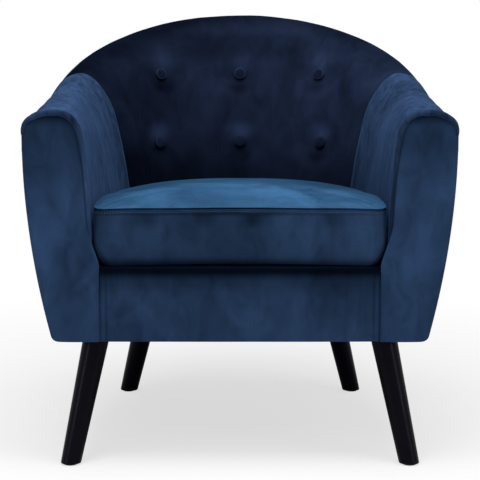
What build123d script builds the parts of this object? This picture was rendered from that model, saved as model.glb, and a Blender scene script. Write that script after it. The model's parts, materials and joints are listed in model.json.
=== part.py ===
from build123d import *
import math
import os
from collections import namedtuple

os.makedirs("parts", exist_ok=True)

# Upholstered tub armchair. Millimetres, +Z up, the front faces -Y, left and right as seen from the front.
# The origin is on the floor, under the middle of the chair.

# Overall sizes
chair_width = 720.0
chair_depth = 680.0
chair_height = 763.0
leg_height = 216.0  # floor to the underside of the body
arm_height = 606.0  # rim at the arm fronts
turn_height = 622.0  # rim where the straight arms run into the rounded back
turn_y = -60.0
facing_depth = 20.0  # arm facings, in front of the arm shells
seat_height = 441.0  # top edge of the cushion

# Outer shell
arm_toe_in = 3.0
rim_power = 2.3  # roundness of the rim in plan
rise_power = 1.38  # how the rim climbs round the back
side_tuck = 46.0  # how far the sides draw in towards the bottom
back_tuck = 70.0
arm_wall = 97.0  # rim thickness
back_wall = 102.0
roll_radius = 40.0
lip_drop = 70.0  # rim down to the seam with the outside covers
seam_angle = 18.5  # where the arm frames and outside arms meet the back, round from the turn
inside_seam_turn = -2.2  # upright seam between an inside arm and the inside back, out of square to the arms
inside_seam_gap = 0.5
inside_arm_past = 17.0  # how far the arm pads and the back pad are drawn past the frame joint before the seam
inside_back_past = 5.0

# Inner face of the shell, from the rim in to the seat at deck level
arm_base_front = 112.0
arm_base_turn = 135.0
back_base = 205.0
seat_power = 2.3
arm_belly = 2.0
back_belly = 16.0

# Layers of the shell
skin = 2.0  # inside covers
arm_pad_depth = 40.0
back_pad_depth = 50.0
rim_pad_depth = 42.0
roof_depth = 30.0  # padding over the top rails
lip_depth = 14.0  # padding on the outer side of the top rails
board = 5.0
outer_cover = 4.0
hem_width = 12.0
hem_depth = 3.0
rib_width = 22.0
back_rib_angles = (39.0, 73.0, 107.0, 141.0)
fit = 0.3  # between pieces that bear on each other
layer_gap = 0.5  # between bent layers

# Seat frame
rail = 25.0
rail_lift = 4.0  # over the underside of the body
rail_height = 98.0
ring_gap = 1.2  # outside covers to the seat frame
block_depth = 70.0
block_height = 62.0
spring_rail_angles = (34.5, 39.5)
spring_rail_lift = 20.0  # over the underside of the rails
rear_block_angle = 62.0
rear_block_gap = 0.1  # to the spring rail, in degrees round the turn
rear_block_nose = 19.1  # inner end of a rear block, on the spring rail
deck_rise = 23.0  # over the rails
deck_gap = 1.3

# Springs
spring_count = 5
spring_spacing = 85.0
spring_wire = 4.0
spring_half = 20.0
spring_bars = 21
spring_drop = 11.0  # under the tops of the rails
spring_samples = 600  # points along a spring where its gap to itself is measured
clip_width = 14.0
clip_depth = 8.5
clip_drop = 5.0  # under the middle of the wire

# Cushion
cushion_gap = 3.0
cushion_back_gap = 9.0  # room for the zip slider
cushion_front = 6.0  # behind the arm facings
cushion_inset = 8.0  # the borders draw in to the top and bottom seams
cushion_skin = 3.0
cushion_corner = 16.0
crown = 13.0
crown_shape = 0.62  # share of the crown that is reached half way in
crown_run = 120.0  # from the top seam in to the flat of the crown
side_arc_angle = 47.0  # where the side bends of the seat run into its back
zip_half_length = 136.788  # along the back border
zip_height = 6.0
zip_end = 6.313  # middle of the slider to the end of the zip
slider_width = 8.0
slider_height = 9.0
slider_depth = 3.2
slider_gap = 0.8  # slider to the border it runs on
pull_length = 17.0
pull_width = 5.0
pull_depth = 1.2

# Tufts
tuft_spacing = 151.0
tuft_rows = (0.24, 0.651)  # shares of the way from the seat up to the rim
tuft_depth = 13.0
tuft_curve = 40.0
tuft_brim = 24.0
tuft_rise = 18.0
button_radius = 11.5
button_gap = 1.0  # round a button, in the floor of its tuft
button_edge = 3.0
button_dome = 6.0
tie_radius = 1.0
toggle_radius = 7.0
toggle_depth = 3.0
knot_radius = 2.6
toggle_gap = 1.3

# Legs
leg_top_radius = 22.5
leg_foot_radius = 17.0
leg_past = 40.0  # how far the taper is carried on past both ends before it is cut
front_leg_inset = 68.5  # from the side of the body
front_leg_setback = 40.0
front_leg_splay = (44.5, -43.0)
rear_leg_angle = 52.6
rear_leg_inset = 15.5
rear_leg_splay = (52.8, 50.0)
foot_edge = 1.2
glide_radius = 11.0
glide_depth = 2.5
nail_radius = 1.5
nail_length = 16.0
bolt_radius = 4.0
bolt_length = 38.0  # each way from the top of the leg
insert_wall = 2.5
insert_length = 24.0
insert_lift = 4.0
bore_gap = 0.1

# Screws, staples and dust cover
screw_radius = 2.0
screw_head = 4.0
screw_head_depth = 2.5
screw_bite = 18.0
screw_lifts = (18.0, 44.0)  # over the underside of the rails
screw_grip = 30.0  # length of screw in a corner block
screw_setback = 50.0  # from the front rail
rear_screw_angle = 56.0
dust_depth = 1.5
dust_inset = 10.0
dust_bends = 12  # points round the back, two to an arc
staple_inset = 20.0
staple_crown = 10.0
staple_wire = 1.0
staple_leg = 12.0
dust_leg_gap = 2.0
staple_angles = 12

# Front border between the arm facings
border_tuck = 11.5  # the border is narrower than the seat by this at each end
border_depth = 16.0
border_round = 9.0
facing_round = 6.0

# Values that follow from the sizes above
rim_front_half = chair_width / 2
rim_turn_half = rim_front_half - arm_toe_in
rim_back_reach = chair_depth / 2 - turn_y
front_y = -chair_depth / 2
arm_end_y = front_y + facing_depth
seat_front_half = rim_front_half - arm_base_front
seat_turn_half = rim_turn_half - arm_base_turn
seat_back_reach = rim_back_reach - back_base
border_half = seat_front_half - border_tuck
rail_bottom = leg_height + rail_lift
rail_top = rail_bottom + rail_height
pad_bottom = rail_top + layer_gap
block_top = rail_bottom + block_height
spring_rail_bottom = rail_bottom + spring_rail_lift
screw_heights = [rail_bottom + lift for lift in screw_lifts]
spring_z = rail_top - spring_drop
clip_bottom = spring_z - clip_drop
deck_top = rail_top + deck_rise
tuft_heights = [seat_height + (chair_height - seat_height) * row for row in tuft_rows]
tuft_floor = button_radius + button_gap
insert_radius = bolt_radius + insert_wall
seam_gap_angle = 0.04
bend_step = 7.7  # largest angle between sections round the bend of an arm
back_step = 11.2  # and round the back
Station = namedtuple("Station", "angle y")
Profile = namedtuple("Profile", "rim top wall foot tuck seat pad belly")


# Sections of the shell

def superellipse(half_width, reach, power, angle):
    across = abs(math.cos(math.radians(angle))) / half_width
    along = abs(math.sin(math.radians(angle))) / reach
    return (across**power + along**power) ** (-1 / power)


def profile(station):
    """Sizes of the shell in the upright plane at a station; radii are from the line through the turn."""
    forward = (turn_y - station.y) / (turn_y - arm_end_y)
    round_back = abs(math.sin(math.radians(station.angle)))
    rim = superellipse(rim_turn_half + arm_toe_in * forward, rim_back_reach, rim_power, station.angle)
    side = seat_turn_half + (seat_front_half - seat_turn_half) * forward
    tuck = side_tuck + (back_tuck - side_tuck) * round_back
    climb = (chair_height - turn_height) * round_back**rise_power
    return Profile(
        rim=rim,
        top=turn_height + (arm_height - turn_height) * forward + climb,
        wall=arm_wall + (back_wall - arm_wall) * round_back,
        foot=rim - tuck,
        tuck=tuck,
        seat=superellipse(side, seat_back_reach, seat_power, station.angle),
        pad=arm_pad_depth + (back_pad_depth - arm_pad_depth) * round_back,
        belly=arm_belly + (back_belly - arm_belly) * round_back,
    )


def section_plane(station):
    turn = math.radians(station.angle)
    outward = (math.cos(turn), math.sin(turn), 0)
    return Plane(origin=(0, station.y, 0), x_dir=outward, z_dir=(math.sin(turn), -math.cos(turn), 0))


def polar(angle, radius):
    turn = math.radians(angle)
    return (radius * math.cos(turn), turn_y + radius * math.sin(turn))


def outer_radius(p, z):
    widest = p.top - roll_radius
    return p.rim - p.tuck * ((widest - z) / (widest - leg_height)) ** 2


def inside_radius(p, z):
    widest = p.top - roll_radius
    part = (z - pad_bottom) / (widest - pad_bottom)
    straight = p.seat + (p.rim - p.wall - p.seat) * part
    return straight - p.belly * 4 * part * (1 - part)


def pad_back_radius(p, z):
    part = (z - pad_bottom) / (p.top - roof_depth - pad_bottom)
    return p.seat + p.pad + (p.rim - p.wall + rim_pad_depth - p.seat - p.pad) * part


def arm_runs(side, end_gap=0.0):
    """Stations along the straight of an arm, then round its bend to a gap short of the back."""
    straight = [Station(0.0, arm_end_y), Station(0.0, turn_y)]
    end = seam_angle - end_gap
    count = math.ceil(end / bend_step)
    bent = [Station(end * i / count, turn_y) for i in range(count + 1)]
    if side == "right":
        return [straight, bent]
    return [[Station(180 - s.angle, s.y) for s in run] for run in (straight, bent)]


def back_runs(end_gap=0.0):
    start = seam_angle + end_gap
    span = 180 - 2 * start
    count = math.ceil(span / back_step)
    return [[Station(start + span * i / count, turn_y) for i in range(count + 1)]]


def rib_runs(angle):
    half = math.degrees(rib_width / 2 / rim_back_reach)
    return [[Station(angle - half, turn_y), Station(angle, turn_y), Station(angle + half, turn_y)]]


def shell_loft(runs, draw):
    with BuildPart() as shell:
        for run in runs:
            for station in run:
                with BuildSketch(section_plane(station)):
                    with BuildLine():
                        draw(profile(station))
                    make_face()
            loft()
    return shell


def seam_plane(side, gap):
    """Upright plane of an inside seam, facing back and moved back by a gap; it meets the frame joint at the rim."""
    sign = -1 if side == "left" else 1
    turn = math.radians(inside_seam_turn)
    back = Vector(-sign * math.sin(turn), math.cos(turn), 0)
    x, y = polar(seam_angle, profile(Station(seam_angle, turn_y)).rim)
    return Plane(origin=Vector(sign * x, y, 0) + back * gap, z_dir=back)


def inside_arm(side, draw):
    whole = shell_loft(arm_runs(side, -inside_arm_past), draw)
    with BuildPart() as arm:
        add(whole.part)
        split(bisect_by=seam_plane(side, -inside_seam_gap / 2), keep=Keep.BOTTOM)
    return arm


def draw_face_side(p, inset):
    """Visible side of the inside padding, from the lip over the roll and down to the deck."""
    centre = p.top - roll_radius
    radius = roll_radius - inset
    bend = radius * math.sqrt(0.5)
    outer_centre = p.rim - roll_radius
    inner_centre = p.rim - p.wall + roll_radius
    middle = (centre + pad_bottom) / 2
    Line((p.rim - inset, p.top - lip_drop), (p.rim - inset, centre))
    ThreePointArc(
        (p.rim - inset, centre), (outer_centre + bend, centre + bend), (outer_centre, centre + radius)
    )
    Line((outer_centre, centre + radius), (inner_centre, centre + radius))
    ThreePointArc(
        (inner_centre, centre + radius),
        (inner_centre - bend, centre + bend),
        (p.rim - p.wall + inset, centre),
    )
    ThreePointArc(
        (p.rim - p.wall + inset, centre),
        (inside_radius(p, middle) + inset, middle),
        (p.seat + inset, pad_bottom),
    )


def draw_pad(p, inset):
    roof = p.top - roof_depth
    lip = p.top - lip_drop
    draw_face_side(p, inset)
    Polyline(
        (p.seat + inset, pad_bottom),
        (p.seat + p.pad, pad_bottom),
        (pad_back_radius(p, roof), roof),
        (p.rim - lip_depth, roof),
        (p.rim - lip_depth, lip),
        (p.rim - inset, lip),
    )


def draw_foam(p):
    draw_pad(p, skin + fit)


def draw_cover(p):
    draw_face_side(p, 0.0)
    draw_face_side(p, skin)
    Line((p.seat, pad_bottom), (p.seat + skin, pad_bottom))
    Line((p.rim, p.top - lip_drop), (p.rim - skin, p.top - lip_drop))


def draw_cover_body(p):
    draw_pad(p, 0.0)


def draw_cover_core(p):
    """What lies under the inside back cover, carried on past its edges."""
    past = lip_depth / 2
    roof = p.top - roof_depth
    lip = p.top - lip_drop
    draw_face_side(p, skin)
    Polyline(
        (p.seat + skin, pad_bottom),
        (p.seat + skin, pad_bottom - past),
        (p.seat + p.pad + past, pad_bottom - past),
        (pad_back_radius(p, roof) + past, roof - past),
        (p.rim - lip_depth - past, roof - past),
        (p.rim - lip_depth - past, lip - past),
        (p.rim - skin, lip - past),
        (p.rim - skin, lip),
    )


def draw_outside(p):
    seam = p.top - lip_drop - layer_gap
    hem_top = leg_height + hem_depth
    middle = (seam + leg_height) / 2
    ThreePointArc(
        (p.foot, leg_height), (outer_radius(p, middle), middle), (outer_radius(p, seam), seam)
    )
    Line((outer_radius(p, seam), seam), (outer_radius(p, seam) - outer_cover, seam))
    ThreePointArc(
        (outer_radius(p, seam) - outer_cover, seam),
        (outer_radius(p, middle) - outer_cover, middle),
        (outer_radius(p, hem_top) - outer_cover, hem_top),
    )
    Polyline(
        (outer_radius(p, hem_top) - outer_cover, hem_top),
        (p.foot - outer_cover - hem_width, hem_top),
        (p.foot - outer_cover - hem_width, leg_height),
        (p.foot, leg_height),
    )


def draw_board(p):
    low = pad_bottom
    high = p.top - lip_drop - layer_gap
    back = layer_gap + board
    Polyline(
        (pad_back_radius(p, low) + layer_gap, low),
        (pad_back_radius(p, low) + back, low),
        (pad_back_radius(p, high) + back, high),
        (pad_back_radius(p, high) + layer_gap, high),
        close=True,
    )


def draw_rib(p):
    low = rail_top + fit
    high = p.top - lip_drop - layer_gap
    middle = (low + high) / 2
    front = 2 * layer_gap + board
    back = outer_cover + layer_gap
    ThreePointArc(
        (outer_radius(p, low) - back, low),
        (outer_radius(p, middle) - back, middle),
        (outer_radius(p, high) - back, high),
    )
    Polyline(
        (outer_radius(p, high) - back, high),
        (pad_back_radius(p, high) + front, high),
        (pad_back_radius(p, low) + front, low),
        (outer_radius(p, low) - back, low),
    )


def draw_top_rail(p):
    low = p.top - lip_drop
    high = p.top - roof_depth - layer_gap
    outer = p.rim - lip_depth - layer_gap
    Polyline(
        (pad_back_radius(p, low) + layer_gap, low),
        (outer, low),
        (outer, high),
        (pad_back_radius(p, high) + layer_gap, high),
        close=True,
    )


def ring_radius(p):
    return p.foot - outer_cover - ring_gap


def draw_seat_rail(p):
    outer = ring_radius(p)
    Polyline(
        (outer - rail, rail_bottom),
        (outer, rail_bottom),
        (outer, rail_top),
        (outer - rail, rail_top),
        close=True,
    )


def keep(piece, name):
    piece.part.label = name
    export_step(piece.part, f"parts/{name}.step")


# Legs: where each one stands

def ring_inside(angle):
    return ring_radius(profile(Station(angle, turn_y))) - rail


front_profile = profile(Station(0.0, arm_end_y))
frame_front_half = ring_radius(front_profile) - rail
front_leg_top = (front_profile.foot - front_leg_inset, arm_end_y + front_leg_setback)
rear_leg_top = polar(rear_leg_angle, ring_inside(rear_leg_angle) - rear_leg_inset)
leg_seat = rail_bottom - fit
Leg = namedtuple("Leg", "name top foot")
legs = []
for end, top, splay in (("front", front_leg_top, front_leg_splay), ("rear", rear_leg_top, rear_leg_splay)):
    for side, sign in (("left", -1), ("right", 1)):
        legs.append(
            Leg(
                f"{end}_{side}",
                Vector(sign * top[0], top[1], leg_seat),
                Vector(sign * (top[0] + splay[0]), top[1] + splay[1], 0),
            )
        )


def leg_plane(leg):
    """At the top of the leg, with its normal up along the leg."""
    return Plane(origin=leg.top, z_dir=leg.top - leg.foot)


def leg_cone(leg, grow=0.0):
    """Tapered round of the leg, carried on past both ends."""
    length = (leg.top - leg.foot).length
    taper = (leg_top_radius - leg_foot_radius) / length
    with BuildPart() as cone:
        with BuildSketch(leg_plane(leg).offset(-length - leg_past)):
            Circle(leg_foot_radius - taper * leg_past + grow)
        with BuildSketch(leg_plane(leg).offset(leg_past)):
            Circle(leg_top_radius + taper * leg_past + grow)
        loft()
    return cone.part


for leg in legs:
    with BuildPart() as turned_leg:
        add(leg_cone(leg))
        split(bisect_by=Plane.XY.offset(leg_seat), keep=Keep.BOTTOM)
        split(bisect_by=Plane.XY.offset(glide_depth), keep=Keep.TOP)
        fillet(turned_leg.edges().group_by(Axis.Z)[0], foot_edge)
        with BuildSketch(leg_plane(leg)):
            Circle(bolt_radius + bore_gap)
        extrude(amount=bolt_length + fit, both=True, mode=Mode.SUBTRACT)
        with BuildSketch(Plane.XY):
            with Locations((leg.foot.X, leg.foot.Y)):
                Circle(nail_radius + bore_gap)
        extrude(amount=glide_depth + nail_length + fit, mode=Mode.SUBTRACT)
    keep(turned_leg, f"{leg.name}_leg")

with BuildPart() as foot_glides:
    for leg in legs:
        with BuildSketch(Plane.XY):
            with Locations((leg.foot.X, leg.foot.Y)):
                Circle(glide_radius)
        extrude(amount=glide_depth)
        with BuildSketch(Plane.XY.offset(glide_depth)):
            with Locations((leg.foot.X, leg.foot.Y)):
                Circle(nail_radius)
        extrude(amount=nail_length)
keep(foot_glides, "foot_glides")

with BuildPart() as leg_bolts:
    for leg in legs:
        with BuildSketch(leg_plane(leg)):
            Circle(bolt_radius)
        extrude(amount=bolt_length, both=True)
keep(leg_bolts, "leg_bolts")

with BuildPart() as leg_inserts:
    for leg in legs:
        with BuildSketch(leg_plane(leg).offset(insert_lift)):
            Circle(insert_radius)
            Circle(bolt_radius + bore_gap, mode=Mode.SUBTRACT)
        extrude(amount=insert_length)
keep(leg_inserts, "leg_inserts")


# Seat frame

def screw_plane(end, side, height):
    """On the inner face of the rail beside a corner block, pointing out into the rail."""
    angle = rear_screw_angle if end == "rear" else 0.0
    angle = 180 - angle if side == "left" else angle
    turn = math.radians(angle)
    outward = (math.cos(turn), math.sin(turn), 0)
    if end == "rear":
        x, y = polar(angle, ring_inside(angle) - fit)
    else:
        x, y = outward[0] * (frame_front_half - fit), arm_end_y + rail + screw_setback
    return Plane(origin=(x, y, height), z_dir=outward)


for side in ("left", "right"):
    side_rail = shell_loft(arm_runs(side), draw_seat_rail)
    with BuildPart() as bored_rail:
        add(side_rail.part)
        for height in screw_heights:
            with BuildSketch(screw_plane("front", side, height)):
                Circle(screw_radius + bore_gap)
            extrude(amount=screw_bite + fit, both=True, mode=Mode.SUBTRACT)
    keep(bored_rail, f"{side}_side_rail")


rear_loft = shell_loft(back_runs(), draw_seat_rail)
with BuildPart() as rear_rail:
    add(rear_loft.part)
    for side in ("left", "right"):
        for height in screw_heights:
            with BuildSketch(screw_plane("rear", side, height)):
                Circle(screw_radius + bore_gap)
            extrude(amount=screw_bite + fit, both=True, mode=Mode.SUBTRACT)
keep(rear_rail, "rear_rail")

with BuildPart() as front_rail:
    with BuildSketch(Plane.XY.offset(rail_bottom)):
        with BuildLine():
            back_half = ring_radius(profile(Station(0.0, arm_end_y + rail))) - rail
            Polyline(
                (-frame_front_half + fit, arm_end_y),
                (frame_front_half - fit, arm_end_y),
                (back_half - fit, arm_end_y + rail),
                (-back_half + fit, arm_end_y + rail),
                close=True,
            )
        make_face()
    extrude(amount=rail_top - rail_bottom)
keep(front_rail, "front_rail")

spring_rail_front = polar(spring_rail_angles[0], ring_inside(spring_rail_angles[0]) - fit)
spring_rail_back = polar(spring_rail_angles[1], ring_inside(spring_rail_angles[1]) - fit)
spring_rail_top = spring_z - spring_wire / 2 - fit
with BuildPart() as spring_rail:
    with BuildSketch(Plane.XY.offset(spring_rail_bottom)):
        with BuildLine():
            Polyline(
                (-spring_rail_front[0], spring_rail_front[1]),
                spring_rail_front,
                spring_rail_back,
                (-spring_rail_back[0], spring_rail_back[1]),
                close=True,
            )
        make_face()
    extrude(amount=spring_rail_top - spring_rail_bottom)
keep(spring_rail, "spring_rail")


def draw_front_block(sign):
    near = arm_end_y + rail + fit
    far = near + block_depth
    near_half = ring_radius(profile(Station(0.0, near))) - rail - fit
    far_half = ring_radius(profile(Station(0.0, far))) - rail - fit
    Polyline(
        (sign * near_half, near),
        (sign * far_half, far),
        (sign * (far_half - block_depth), far),
        (sign * (near_half - block_depth), near),
        close=True,
    )


def draw_rear_block(sign):
    """Fills the corner between the spring rail and the rear rail."""
    start = spring_rail_angles[1] + rear_block_gap
    middle = (start + rear_block_angle) / 2
    first = polar(start, ring_inside(start) - fit)
    second = polar(middle, ring_inside(middle) - fit)
    third = polar(rear_block_angle, ring_inside(rear_block_angle) - fit)
    nose_y = first[1] + rear_block_nose
    fourth = polar(rear_block_angle, (nose_y - turn_y) / math.sin(math.radians(rear_block_angle)))
    ThreePointArc(
        (sign * first[0], first[1]), (sign * second[0], second[1]), (sign * third[0], third[1])
    )
    Polyline(
        (sign * third[0], third[1]),
        (sign * fourth[0], fourth[1]),
        (sign * fourth[0], first[1]),
        (sign * first[0], first[1]),
    )


for leg in legs:
    end, side = leg.name.split("_")
    sign = -1 if side == "left" else 1
    with BuildPart() as block:
        with BuildSketch(Plane.XY.offset(rail_bottom)):
            with BuildLine():
                if end == "front":
                    draw_front_block(sign)
                else:
                    draw_rear_block(sign)
            make_face()
        extrude(amount=block_top - rail_bottom)
        with BuildSketch(leg_plane(leg)):
            Circle(insert_radius + bore_gap)
        extrude(amount=block_top, both=True, mode=Mode.SUBTRACT)
        for height in screw_heights:
            with BuildSketch(screw_plane(end, side, height)):
                Circle(screw_radius + bore_gap)
            extrude(amount=-screw_grip, both=True, mode=Mode.SUBTRACT)
            with BuildSketch(screw_plane(end, side, height).offset(-screw_grip)):
                Circle(screw_head + bore_gap)
            extrude(amount=-block_depth, mode=Mode.SUBTRACT)
    keep(block, f"{leg.name}_block")

with BuildPart() as block_screws:
    for leg in legs:
        end, side = leg.name.split("_")
        for height in screw_heights:
            with BuildSketch(screw_plane(end, side, height).offset(screw_bite)):
                Circle(screw_radius)
            extrude(amount=-screw_bite - screw_grip)
            with BuildSketch(screw_plane(end, side, height).offset(-screw_grip)):
                Circle(screw_head)
            extrude(amount=-screw_head_depth)
keep(block_screws, "block_screws")


# Ribs, top rails and boards inside the shell

for side, angle in (("left", 180.0), ("right", 0.0)):
    front_runs = [[Station(angle, arm_end_y), Station(angle, arm_end_y + rib_width)]]
    keep(shell_loft(front_runs, draw_rib), f"{side}_arm_rib")
    keep(shell_loft(rib_runs(abs(angle - seam_angle)), draw_rib), f"{side}_seam_rib")
    keep(shell_loft(arm_runs(side), draw_top_rail), f"{side}_arm_top_rail")
    keep(shell_loft(arm_runs(side, seam_gap_angle), draw_board), f"{side}_arm_board")

for number, angle in enumerate(back_rib_angles, 1):
    keep(shell_loft(rib_runs(angle), draw_rib), f"back_rib_{number}")
keep(shell_loft(back_runs(), draw_top_rail), "back_top_rail")


# Tufts: a button drawn into the inside back, tied through the pad and the back board

def inside_face_angle(x, z):
    """Angle round the turn at which the inside back is x from the middle at height z."""
    low, high = seam_angle, 90.0
    for _ in range(50):
        angle = (low + high) / 2
        radius = inside_radius(profile(Station(angle, turn_y)), z)
        if radius * math.cos(math.radians(angle)) > x:
            low = angle
        else:
            high = angle
    return angle


Tuft = namedtuple("Tuft", "plane axis reach")
tufts = []
for height in tuft_heights:
    for column in (-1, 0, 1):
        angle = inside_face_angle(tuft_spacing, height) if column else 90.0
        angle = 180 - angle if column < 0 else angle
        p = profile(Station(angle, turn_y))
        radius = inside_radius(p, height)
        lean = math.atan(inside_radius(p, height + 1) - radius)
        turn = math.radians(angle)
        x, y = polar(angle, radius)
        out = Vector(-math.cos(turn) * math.cos(lean), -math.sin(turn) * math.cos(lean), math.sin(lean))
        along = Vector(-math.sin(turn), math.cos(turn), 0)
        plane = Plane(origin=(x, y, height), x_dir=along, z_dir=along.cross(out))
        slope = pad_back_radius(p, height + 1) - pad_back_radius(p, height)
        board_back = pad_back_radius(p, height) + 2 * layer_gap + board
        reach = (board_back - radius) / (math.cos(lean) + slope * math.sin(lean))
        tufts.append(Tuft(plane, Axis(Vector(x, y, height), out), reach))


def draw_tuft(grow):
    """Half section of the hollow that a tuft pulls into the pad, from its floor out past its brim."""
    curve = tuft_curve - grow
    floor = -tuft_depth - grow
    swing = math.acos((tuft_curve + floor) / curve)
    edge = tuft_floor + tuft_curve * math.sin(math.acos(1 - tuft_depth / tuft_curve))
    base = edge - curve * math.sin(swing)
    brim = -grow
    Line((0, floor), (base, floor))
    ThreePointArc(
        (base, floor),
        (edge - curve * math.sin(swing / 2), curve * math.cos(swing / 2) - tuft_curve),
        (edge, brim),
    )
    Polyline(
        (edge, brim), (edge + tuft_brim, brim + tuft_rise), (0, brim + tuft_rise), (0, floor)
    )


def tie_plane(tuft, depth):
    """Square to a tuft's tie, at a depth under the face of the inside back."""
    inward = tuft.axis.direction * -1
    return Plane(origin=tuft.axis.position + inward * depth, z_dir=inward)


def tuft_hollows(grow):
    with BuildPart() as hollows:
        for tuft in tufts:
            with BuildSketch(tuft.plane):
                with BuildLine():
                    draw_tuft(grow)
                make_face()
            revolve(axis=tuft.axis)
    return hollows.part


with BuildPart() as tie_holes:
    for tuft in tufts:
        with BuildSketch(tie_plane(tuft, -tuft_rise)):
            Circle(tie_radius + fit)
        extrude(amount=tuft_rise + tuft.reach + toggle_gap)

with BuildPart() as cover_core:
    add(shell_loft(back_runs(-inside_back_past - seam_gap_angle), draw_cover_core).part)
    add(tuft_hollows(skin), mode=Mode.SUBTRACT)

with BuildPart() as inside_back_cover:
    add(shell_loft(back_runs(-inside_back_past), draw_cover_body).part)
    add(tuft_hollows(0.0), mode=Mode.SUBTRACT)
    add(cover_core.part, mode=Mode.SUBTRACT)
    add(tie_holes.part, mode=Mode.SUBTRACT)
    for side in ("left", "right"):
        split(bisect_by=seam_plane(side, inside_seam_gap / 2), keep=Keep.TOP)
keep(inside_back_cover, "inside_back_cover")

with BuildPart() as inside_back_foam:
    add(shell_loft(back_runs(-inside_back_past), draw_foam).part)
    add(tuft_hollows(skin + fit), mode=Mode.SUBTRACT)
    add(tie_holes.part, mode=Mode.SUBTRACT)
    for side in ("left", "right"):
        split(bisect_by=seam_plane(side, inside_seam_gap / 2), keep=Keep.TOP)
keep(inside_back_foam, "inside_back_foam")

with BuildPart() as back_board:
    add(shell_loft(back_runs(seam_gap_angle), draw_board).part)
    add(tie_holes.part, mode=Mode.SUBTRACT)
keep(back_board, "back_board")

with BuildPart() as tuft_buttons:
    for tuft in tufts:
        back = -tuft_depth + fit
        edge = back + button_edge
        top = edge + button_dome
        with BuildSketch(tuft.plane):
            with BuildLine():
                Polyline((0, top), (0, back), (button_radius, back), (button_radius, edge))
                RadiusArc(
                    (button_radius, edge),
                    (0, top),
                    -(button_radius**2 + button_dome**2) / (2 * button_dome),
                )
            make_face()
        revolve(axis=tuft.axis)
keep(tuft_buttons, "tuft_buttons")

with BuildPart() as button_ties:
    for tuft in tufts:
        knot = tuft.reach + toggle_gap + toggle_depth + knot_radius
        with BuildSketch(tie_plane(tuft, tuft_depth)):
            Circle(tie_radius)
        extrude(amount=knot - tuft_depth)
        with Locations(tie_plane(tuft, knot)):
            Sphere(knot_radius)
keep(button_ties, "button_ties")

with BuildPart() as button_toggles:
    for tuft in tufts:
        with BuildSketch(tie_plane(tuft, tuft.reach + toggle_gap - fit)):
            Circle(toggle_radius)
            Circle(tie_radius + fit, mode=Mode.SUBTRACT)
        extrude(amount=toggle_depth)
keep(button_toggles, "button_toggles")


# Arms and outside covers

for side in ("left", "right"):
    keep(inside_arm(side, draw_cover), f"{side}_arm_cover")
    keep(inside_arm(side, draw_foam), f"{side}_arm_foam")
    keep(shell_loft(arm_runs(side, seam_gap_angle), draw_outside), f"{side}_outside_arm_cover")
keep(shell_loft(back_runs(seam_gap_angle), draw_outside), "outside_back_cover")


def draw_facing(p):
    centre = p.top - roll_radius
    middle = (centre + leg_height) / 2
    inner_middle = (centre + pad_bottom) / 2
    bend = roll_radius * math.sqrt(0.5)
    outer_centre = p.rim - roll_radius
    inner_centre = p.rim - p.wall + roll_radius
    ThreePointArc((p.foot, leg_height), (outer_radius(p, middle), middle), (p.rim, centre))
    ThreePointArc((p.rim, centre), (outer_centre + bend, centre + bend), (outer_centre, p.top))
    Line((outer_centre, p.top), (inner_centre, p.top))
    ThreePointArc(
        (inner_centre, p.top), (inner_centre - bend, centre + bend), (p.rim - p.wall, centre)
    )
    ThreePointArc(
        (p.rim - p.wall, centre), (inside_radius(p, inner_middle), inner_middle), (p.seat, pad_bottom)
    )
    step = p.seat - border_half
    Polyline(
        (p.seat, pad_bottom),
        (border_half, pad_bottom - step),
        (border_half, leg_height),
        (p.foot, leg_height),
    )


with BuildPart() as right_arm_facing:
    with BuildSketch(Plane.XZ.offset(-arm_end_y + fit)):
        with BuildLine():
            draw_facing(front_profile)
        make_face()
    extrude(amount=facing_depth - fit)
    fillet(right_arm_facing.edges().group_by(Axis.Y)[0], facing_round)
keep(right_arm_facing, "right_arm_facing")

with BuildPart() as left_arm_facing:
    mirror(right_arm_facing.part, about=Plane.YZ)
keep(left_arm_facing, "left_arm_facing")

with BuildPart() as front_border:
    back = arm_end_y - fit
    front = arm_end_y - border_depth
    top_back = arm_end_y + rail
    with BuildSketch(Plane.YZ):
        with BuildLine():
            Polyline(
                (back, leg_height),
                (front, leg_height),
                (front, deck_top),
                (top_back, deck_top),
                (top_back, rail_top + layer_gap),
                (back, rail_top + layer_gap),
                close=True,
            )
        make_face()
    extrude(amount=border_half - fit, both=True)
    front_edges = front_border.edges().filter_by(Axis.X).group_by(Axis.Y)[0]
    fillet(front_edges, border_round)
keep(front_border, "front_border")


# Deck and springs

def draw_seat_plan(front, gap, back_gap, height):
    """Plan of a piece that lies inside the shell, a gap clear of its inner face at a height."""

    def wall(angle, y=turn_y):
        share = min(1.0, angle / side_arc_angle)
        return inside_radius(profile(Station(angle, y)), height) - gap - (back_gap - gap) * share

    def mirrored(point):
        return (-point[0], point[1])

    corner = (wall(0.0, max(front, arm_end_y)), front)
    turn = (wall(0.0), turn_y)
    side_middle = polar(side_arc_angle / 2, wall(side_arc_angle / 2))
    side_end = polar(side_arc_angle, wall(side_arc_angle))
    back = polar(90.0, wall(90.0))
    Line(mirrored(corner), corner)
    Line(corner, turn)
    ThreePointArc(turn, side_middle, side_end)
    ThreePointArc(side_end, back, mirrored(side_end))
    ThreePointArc(mirrored(side_end), mirrored(side_middle), mirrored(turn))
    Line(mirrored(turn), mirrored(corner))


with BuildPart() as deck_pad:
    with BuildSketch(Plane.XY.offset(spring_z + spring_wire / 2 + fit)):
        with BuildLine():
            draw_seat_plan(arm_end_y + rail + layer_gap, deck_gap, deck_gap, pad_bottom)
        make_face()
    extrude(amount=deck_top - spring_z - spring_wire / 2 - fit)
keep(deck_pad, "deck_pad")

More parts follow.
